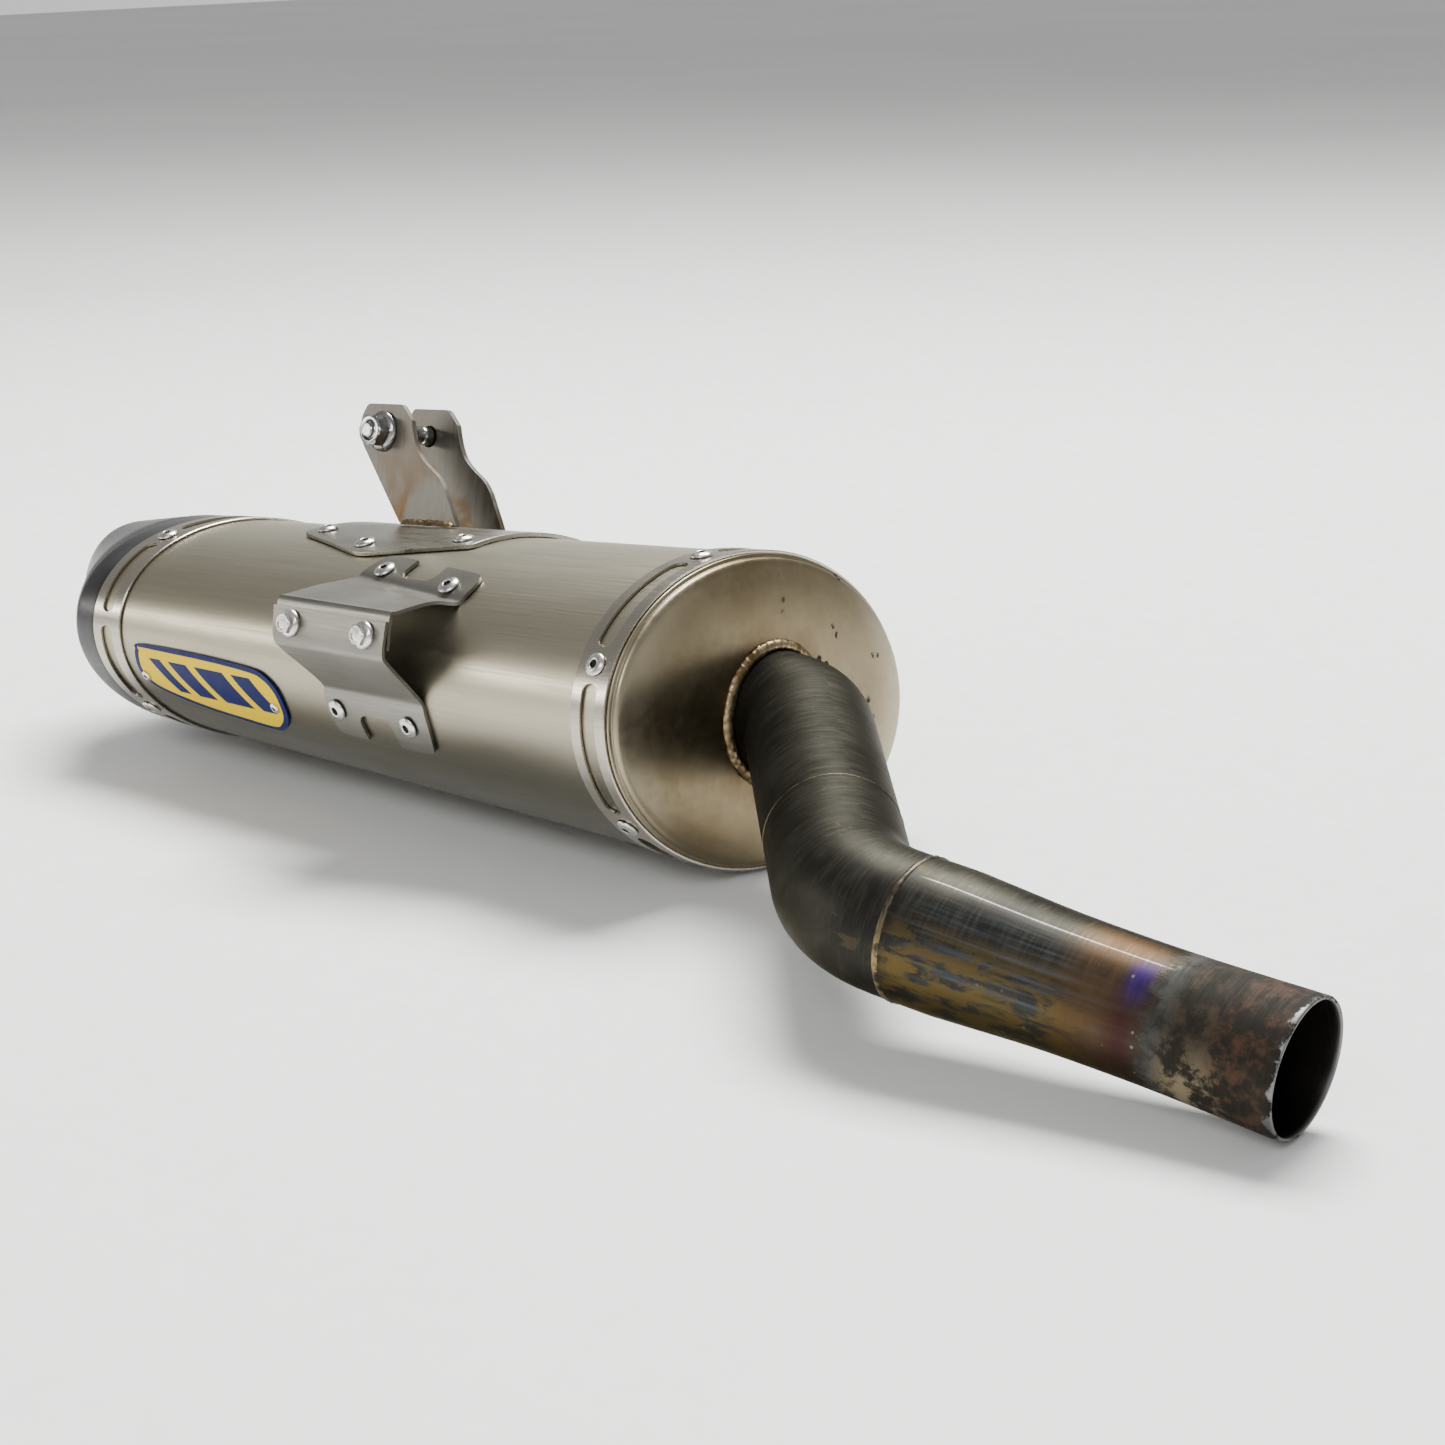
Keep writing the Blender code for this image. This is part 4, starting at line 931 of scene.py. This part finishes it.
def pipe_path(steps=20):
    corners = [Vector(corner) for corner in PIPE_CORNERS]
    points = [corners[0]]
    for before, here, after in zip(corners, corners[1:], corners[2:]):
        back = (before - here).normalized()
        ahead = (after - here).normalized()
        half = back.angle(ahead) / 2
        centre = here + (back + ahead).normalized() * BEND_RADIUS / math.sin(half)
        start = here + back * BEND_RADIUS / math.tan(half) - centre
        end = here + ahead * BEND_RADIUS / math.tan(half) - centre
        sweep = start.angle(end)
        for k in range(steps + 1):
            share = k / steps
            arm = start * math.sin((1 - share) * sweep) + end * math.sin(share * sweep)
            points.append(centre + arm / math.sin(sweep))
    points.append(corners[-1])
    return points


def pipe_radius(distance):
    spots = through([(d, r, 0.0) for d, r in NECK], 6)
    for first, second in zip(spots, spots[1:]):
        if first.x <= distance <= second.x:
            return first.y + (second.y - first.y) * (distance - first.x) / max(second.x - first.x, 1e-6)
    return NECK[0][1] if distance < NECK[0][0] else NECK[-1][1]


def pipe_frames(spacing=4.0):
    """(distance, centre, side, other) down the pipe; side starts at the can's top."""
    path = pipe_path()
    lengths = [0.0]
    for a, b in zip(path, path[1:]):
        lengths.append(lengths[-1] + (b - a).length)
    total = lengths[-1]
    count = round(total / spacing)
    side = Vector((0.0, 0.0, 1.0))
    frames = []
    leg = 0
    for k in range(count + 1):
        distance = total * k / count
        while leg < len(path) - 2 and lengths[leg + 1] < distance:
            leg += 1
        ahead = (path[leg + 1] - path[leg]).normalized()
        centre = path[leg] + ahead * (distance - lengths[leg])
        side = (side - ahead * side.dot(ahead)).normalized()
        frames.append((distance, centre, side.copy(), ahead.cross(side)))
    return frames


def frame_at(frames, distance):
    return min(frames, key=lambda item: abs(item[0] - distance))


def hoop(frame_here, radius, segments=PIPE_SEGMENTS, shift=0.0, lumps=None):
    """Ring of points round the pipe at one of its frames; lumps changes the radius with the angle."""
    _, centre, side, other = frame_here
    ahead = side.cross(other)
    ring = []
    for k in range(segments):
        angle = math.tau * k / segments
        reach = radius + (lumps(angle) if lumps else 0.0)
        ring.append(centre + ahead * shift + reach * (side * math.cos(angle) + other * math.sin(angle)))
    return ring


def make_pipe():
    frames = pipe_frames()
    first = frames[0]
    last = frames[-1]
    rings = [hoop(item, pipe_radius(item[0])) for item in frames[:-1]]
    rings[0] = hoop(first, PIPE_RADIUS, shift=GAP)
    tip = pipe_radius(last[0])
    lip = ((tip, -1.2), (tip - 0.05, -0.5), (tip - 0.3, -0.1), (tip - 0.7, 0.0),
           (tip - PIPE_WALL + 0.25, -0.1), (tip - PIPE_WALL, -0.6))
    rings += [hoop(last, radius, shift=shift) for radius, shift in lip]
    rings += [hoop(item, pipe_radius(item[0]) - PIPE_WALL) for item in reversed(frames[1:-1])]
    rings.append(hoop(first, PIPE_RADIUS - PIPE_WALL, shift=GAP))
    nodes = ("pipe_elbow", "pipe_second_bend", "pipe_straight", "pipe_slip_end")
    add_piece("inlet_pipe", skin(rings, True), "pipe", nodes, smooth=60.0)
    for number, (distance, half_width, rise, rough) in enumerate(SEAMS):
        make_seam(f"pipe_seam_{number}", frame_at(frames, distance), pipe_radius(distance),
                  half_width, rise, rough)


def make_seam(name, here, radius, half_width, rise, rough):
    """Thin weld seam round the pipe."""
    segments = 180

    def bumpy(scale):
        def lump(angle):
            return scale * noise.noise(Vector((math.cos(angle), math.sin(angle), half_width)) * 14.0)
        return lump

    rings = [
        hoop(here, radius - 0.2, segments, -half_width),
        hoop(here, radius + 0.7 * rise, segments, -half_width * 0.6, bumpy(rough)),
        hoop(here, radius + rise, segments, 0.0, bumpy(rough * 1.4)),
        hoop(here, radius + 0.7 * rise, segments, half_width * 0.6, bumpy(rough)),
        hoop(here, radius - 0.2, segments, half_width),
    ]
    add_piece(name, skin(rings, True), "seam", smooth=80.0)


def make_pipe_weld():
    """Lumpy bead between the cap and the pipe: overlapping scales that run round the pipe."""
    segments = 260
    scales = 46
    face = CAP_FACE + 0.05
    arc = [(0.0, 0.2), (0.9, 0.0), (1.8, -0.2), (2.3, 0.4), (2.4, 1.1), (2.0, 2.0), (1.3, 2.8), (0.5, 3.4),
           (0.0, 3.7)]
    rings = []
    for rise, reach in arc:
        ring = []
        for i in range(segments):
            angle = math.tau * i / segments
            phase = (angle * scales / math.tau) % 1.0
            swell = 0.5 * (1.0 - phase) * (rise > 0.2)
            drift = 0.6 * noise.noise(Vector((math.cos(angle), math.sin(angle), 0.3)) * 3.0) * (rise > 0.2)
            radius = PIPE_RADIUS + 0.55 + reach + (swell + drift) * (reach > 1.0)
            ring.append((face + rise * (0.86 + swell * 0.45) + drift * 0.3, radius * math.cos(angle),
                         radius * math.sin(angle)))
        rings.append(ring)
    add_piece("pipe_weld_bead", skin(rings, True), "weld", ("pipe_weld",), smooth=70.0)


# ---------------------------------------------------------------- clevis and saddle

def make_saddle():
    """Saddle plate over the top: square in the middle, drawn to a blunt rounded point on each side."""
    rear, front = -240.0, -131.0
    middle = (rear + front) / 2
    square, tip = 29.0, 41.0
    rows = []
    for off_top in steps_between(-tip, tip, 64):
        share = 0.93 * max(0.0, (abs(off_top) - square) / (tip - square))
        end = max(0.0, abs(off_top) - tip + 0.8) / 0.8
        corner = 1.0 - 0.35 * end ** 2
        half = (front - rear) / 2 * (1.0 - share) * corner
        rows.append((90.0 + off_top, middle - half, middle + half))
    base = SLEEVE_LIFT
    plate = add_piece("saddle_skin", patch(rows, base, base + SADDLE_SHEET, 2), "saddle",
                      ("saddle_plate",))
    bevel(plate, 0.35)


def ear_floor(x, y):
    width, height = half_sizes(x)
    lift = SLEEVE_LIFT + SADDLE_SHEET + GAP
    return (height + lift) * math.sqrt(1.0 - (y / (width + lift)) ** 2)


def make_ears():
    """Two swept ears with a drilled top, each with a lumpy weld bead outside its foot."""
    for name, side in (("near", -1.0), ("far", 1.0)):
        inner = side * EAR_GAP / 2
        outer = inner + side * EAR_SHEET
        feet = [(x, max(ear_floor(x, inner), ear_floor(x, outer))) for x in (-208.0, -189.5, -171.0)]
        front = [tuple(p.xy) for p in through([(-181.0, 73.5, 0.0), (-186.0, 78.6, 0.0), (-193.0, 82.5, 0.0),
                                               (-199.0, 86.8, 0.0), (-202.5, 91.5, 0.0), (-205.0, 97.0, 0.0),
                                               (-206.5, 101.5, 0.0)], 3)]
        rest = [(-213.5, 108.0), (-236.5, 107.2), (-240.0, 101.5), (-240.0, 95.5), (-238.0, 89.5)]
        outline = round_corners(feet + front + rest, 1.6)
        turn = Matrix.Translation((0.0, inner, 0.0)) @ TOWARDS_BADGE
        ear = add_piece(f"clevis_ear_{name}_skin", prism(outline, 0.0, -side * EAR_SHEET), "clevis",
                        (f"clevis_ear_{name}",), turn=turn)
        hole = skin(turned([(-30.0, 4.7, 0), (30.0, 4.7, 0)], 48), False)
        place = Matrix.Translation((BOLT_PLACE.x, inner, BOLT_PLACE.z)) @ TOWARDS_BADGE
        carve(ear, [cutter_from(hole, place)])
        bevel(ear, 0.3)
        make_ear_weld(name, side)


def make_ear_weld(name, side):
    ear_face = side * (EAR_GAP / 2 + EAR_SHEET)
    rear, front = -206.0, -173.0
    rings = []
    for k in range(91):
        share = k / 90
        x = rear + (front - rear) * share
        phase = (share * 12.0) % 1.0
        end = math.sqrt(max(0.0, 1.0 - abs(2 * share - 1) ** 8))
        lump = 0.3 * noise.noise(Vector((x * 0.3, side, 0.0)))
        size = (2.2 + 0.55 * (1.0 - phase) + lump) * (0.35 + 0.65 * end)
        ring = []
        for reach, rise in ((0.15, 0.1), (1.0, 0.05), (0.93, 0.32), (0.72, 0.62), (0.42, 0.88), (0.15, 1.0)):
            y = ear_face + side * max(0.15, reach * size)
            ring.append((x, y, ear_floor(x, y) + 0.1 + rise * size))
        rings.append(ring)
    add_piece(f"clevis_weld_{name}_bead", skin(rings, False), "weld", (f"clevis_weld_{name}",),
              smooth=70.0)


# ---------------------------------------------------------------- side bracket

def bracket_piece(name, node, rows, side, notch):
    """A folded sheet: rows of (rear, front) points, smoothed into bends, thickened, notched, softened."""
    rears = through([rear for rear, _ in rows], 5)
    fronts = through([front for _, front in rows], 5)
    grid = [[rear.lerp(front, t) for t in steps_between(0.0, 1.0, 10)] for rear, front in zip(rears, fronts)]
    far = []
    for r, row in enumerate(grid):
        before = grid[max(r - 1, 0)]
        after = grid[min(r + 1, len(grid) - 1)]
        across = (row[-1] - row[0]).normalized()
        climb = (after[0] + after[-1] - before[0] - before[-1]).normalized()
        push = across.cross(climb).normalized() * BRACKET_SHEET * side
        far.append([point + push for point in row])
    piece = add_piece(name, sheet(grid, far), "bracket", (node,))
    cutters = [notch]
    for x in BRACKET_BOLTS:
        place = Matrix.Translation((x, BRACKET_FACE_Y, BRACKET_BOLT_Z)) @ FROM_BADGE
        cutters.append(cutter_from(skin(turned([(-3.0, 3.4, 0), (8.0, 3.4, 0)], 36), False), place))
    carve(piece, cutters)
    bevel(piece, 0.28)


def notch_cutter(x, degrees, half_width, direction):
    right = [(half_width, 16.0), (half_width, 3.0), (half_width - 3.0, 0.0)]
    outline = round_corners(right + [(-u, v) for u, v in reversed(right)], 3.0, 4)
    return cutter_from(prism([(u, direction * v) for u, v in outline], -7.0, 6.0), can_stand(x, degrees, 0.0))


def make_side_bracket():
    def on_sleeve(degrees, rear, front, twist=0.0):
        lift = SLEEVE_LIFT + 0.04 * twist
        return (above_can(rear, degrees, lift), above_can(front, degrees + twist, lift))

    def free(y, z, rear, front):
        return (Vector((rear, y, z)), Vector((front, y, z)))

    inner = BRACKET_FACE_Y + BRACKET_SHEET
    rows = [on_sleeve(213.0, -162.5, -110.0), on_sleeve(211.5, -166.0, -106.5),
            on_sleeve(208.0, -167.0, -105.0), on_sleeve(202.0, -167.5, -103.8),
            on_sleeve(196.0, -167.5, -104.0), on_sleeve(191.5, -166.8, -104.8),
            free(-88.0, -6.6, -167.0, -106.0), free(-101.0, 3.6, -173.8, -107.2),
            free(inner, 7.6, -175.8, -107.5), free(inner, 20.0, -177.0, -107.0)]
    bracket_piece("side_bracket_front_skin", "side_bracket_front", rows, 1.0,
                  notch_cutter(-138.0, 201.5, 10.3, -1.0))
    tab = inner + GAP + BRACKET_SHEET
    twist = BRACKET_TWIST
    rows = [on_sleeve(130.5, -160.5, -103.0, twist), on_sleeve(132.0, -165.0, -99.5, twist),
            on_sleeve(136.0, -167.0, -98.0, twist), on_sleeve(140.5, -168.5, -98.5, twist),
            on_sleeve(145.0, -170.0, -100.0, twist), free(-84.0, 28.0, -174.0, -104.0),
            free(-99.0, 23.2, -176.5, -106.8), free(tab, 21.6, -177.0, -107.0),
            free(tab, 8.6, -177.0, -107.0)]
    bracket_piece("side_bracket_top_skin", "side_bracket_top", rows, -1.0,
                  notch_cutter(-134.5, 142.5, 10.5, 1.0))


# ---------------------------------------------------------------- name plate

def plate_outline(inset):
    """Badge outline as (x, arc millimetres round the sleeve), drawn in by an inset."""
    arc = 1.30
    corners = [(-296.0, 189.6), (-257.0, 189.2), (-218.0, 190.7), (-207.5, 193.4), (-201.6, 198.4),
               (-200.0, 204.5), (-202.0, 212.2), (-209.3, 218.9), (-218.4, 222.0), (-242.0, 220.8),
               (-260.0, 219.4), (-279.0, 216.3), (-292.5, 212.9), (-299.4, 208.6), (-301.8, 203.6),
               (-301.4, 197.5), (-299.8, 192.6)]
    points = [Vector((x, degrees * arc, 0.0)) for x, degrees in corners]
    loop = through(points[-2:] + points + points[:2], 5)[10:-5]
    middle = sum(loop, Vector()) / len(loop)
    drawn = []
    for before, here, after in zip(loop[-1:] + loop[:-1], loop, loop[1:] + loop[:1]):
        ahead = (after - before).normalized()
        inward = Vector((-ahead.y, ahead.x, 0.0))
        if inward.dot(middle - here) < 0:
            inward.negate()
        drawn.append(here + inward * inset)
    return drawn, arc


def plate_layer(name, inset, low, high, mat, clip=None, nodes=()):
    """One layer of the badge as rows across the outline; clip narrows each row for a stripe."""
    loop, arc = plate_outline(inset)
    tops = [point.y for point in loop]
    rows = []
    count = 40
    for k in range(count + 1):
        share = 0.5 - 0.5 * math.cos(math.pi * (0.012 + 0.976 * k / count))
        level = min(tops) + (max(tops) - min(tops)) * share
        hits = []
        for a, b in zip(loop, loop[1:] + loop[:1]):
            if (a.y - level) * (b.y - level) < 0:
                hits.append(a.x + (b.x - a.x) * (level - a.y) / (b.y - a.y))
        if len(hits) < 2:
            continue
        rear, front = min(hits), max(hits)
        if clip:
            rear, front = clip(rear, front, level / arc)
            if front - rear < 0.6:
                continue
        rows.append((level / arc, rear, front))
    return add_piece(name, patch(rows, low, high, 6), mat, nodes, smooth=45.0)


def make_name_plate():
    """Navy plate with a raised yellow field and three plain slanted bars in place of any wording."""
    base = SLEEVE_LIFT
    plate_layer("badge_plate", 0.0, base, base + PLATE_SHEET, "navy", nodes=("name_plate",))
    plate_layer("badge_field", 2.9, base + 0.86, base + 0.98, "yellow")

    def bar(start, width, top, bottom):
        def clip(rear, front, degrees):
            if not top <= degrees <= bottom:
                return 0.0, 0.0
            lean = (degrees - top) * 0.9
            return max(rear, start + lean), min(front, start + width + lean)
        return clip

    bars = ((-291.0, 8.0), (-277.0, 13.0), (-258.0, 20.0), (-232.0, 13.0))
    for number, (start, width) in enumerate(bars):
        plate_layer(f"badge_bar_{number}", 6.5, base + 0.96, base + 1.04, "navy",
                    bar(start, width, 195.5, 211.5))


# ---------------------------------------------------------------- stage, light and camera

def make_floor():
    bm = bmesh.new()
    bmesh.ops.create_grid(bm, x_segments=8, y_segments=8, size=9.0)
    mesh = bpy.data.meshes.new("floor")
    bm.to_mesh(mesh)
    bm.free()
    mesh.materials.append(floor_material())
    floor = linked("floor", mesh)
    floor.location = (0.0, 0.0, -0.0004)


def add_area(name, place, target, size, power, tone):
    light = bpy.data.lights.new(name, "AREA")
    light.shape = "RECTANGLE"
    light.size, light.size_y = size
    light.energy = power
    light.color = tone
    obj = linked(name, light)
    obj.location = place
    obj.rotation_euler = (Vector(target) - Vector(place)).to_track_quat("-Z", "Y").to_euler()


def make_light():
    world = bpy.data.worlds.new("studio")
    bpy.context.scene.world = world
    world.use_nodes = True
    nodes = world.node_tree.nodes
    links = world.node_tree.links
    coords = nodes.new("ShaderNodeTexCoord")
    split = nodes.new("ShaderNodeSeparateXYZ")
    ramp = nodes.new("ShaderNodeValToRGB")
    links.new(coords.outputs["Generated"], split.inputs[0])
    links.new(split.outputs[2], ramp.inputs[0])
    links.new(ramp.outputs[0], nodes["Background"].inputs["Color"])
    levels = ((0.0, 0.78), (0.16, 0.72), (0.34, 0.42), (1.0, 0.34))
    for place, level in levels[1:-1]:
        ramp.color_ramp.elements.new(place)
    for element, (place, level) in zip(ramp.color_ramp.elements, levels):
        element.position = place
        element.color = (level, level, 0.99 * level, 1.0)
    nodes["Background"].inputs["Strength"].default_value = 1.02
    add_area("key", (-0.4, 1.0, 2.3), (0.0, 0.0, 0.0), (1.6, 1.2), 205.0, (1.0, 0.99, 0.97))
    add_area("fill", (0.9, -2.2, 1.7), (0.0, 0.0, 0.05), (1.6, 0.9), 34.0, (0.98, 0.99, 1.0))
    add_area("strip", (-2.1, -1.75, 0.62), (-0.1, -0.05, 0.1), (1.3, 0.35), 16.0, (1.0, 0.97, 0.92))


def make_camera():
    """Camera where the photograph was taken from, looking down on the pipe's end."""
    pitch, roll, yaw = (math.radians(a) for a in CAMERA_TURN)
    ahead = Vector((-math.sin(yaw) * math.cos(pitch), math.cos(yaw) * math.cos(pitch), -math.sin(pitch)))
    level = Vector((math.cos(yaw), math.sin(yaw), 0.0))
    square = level.cross(ahead)
    right = level * math.cos(roll) + square * math.sin(roll)
    up = square * math.cos(roll) - level * math.sin(roll)
    data = bpy.data.cameras.new("camera")
    data.lens = CAMERA_LENS
    data.sensor_width = 36.0
    data.clip_start = 0.02
    camera = linked("camera", data)
    place = ORIGIN + Vector(CAMERA_PLACE) * MM
    camera.matrix_world = Matrix.Translation(place) @ Matrix((right, up, -ahead)).transposed().to_4x4()
    bpy.context.scene.camera = camera


def dress_inner_nodes():
    """The inner solids keep their CAD shape and get their own finishes."""
    for node, mat in (("core_tube", "inner"), ("rear_bulkhead", "inner"), ("packing", "packing")):
        for place in frame["nodes"][node].material_slots:
            place.material = MATERIALS[mat]


def main():
    make_sleeve()
    make_band("front_band", FRONT_BAND, FRONT_RIVET_ANGLES, (), FRONT_RIVET_X)
    make_band("rear_band", REAR_BAND, REAR_RIVET_ANGLES, (0.0, 90.0, 180.0, 270.0), REAR_RIVET_X)
    make_inlet_cap()
    make_tail()
    make_spout()
    make_pipe()
    make_pipe_weld()
    make_saddle()
    make_ears()
    make_clevis_bolt()
    make_side_bracket()
    make_bracket_fasteners()
    make_rivets()
    make_name_plate()
    dress_inner_nodes()
    make_floor()
    make_light()
    make_camera()


main()
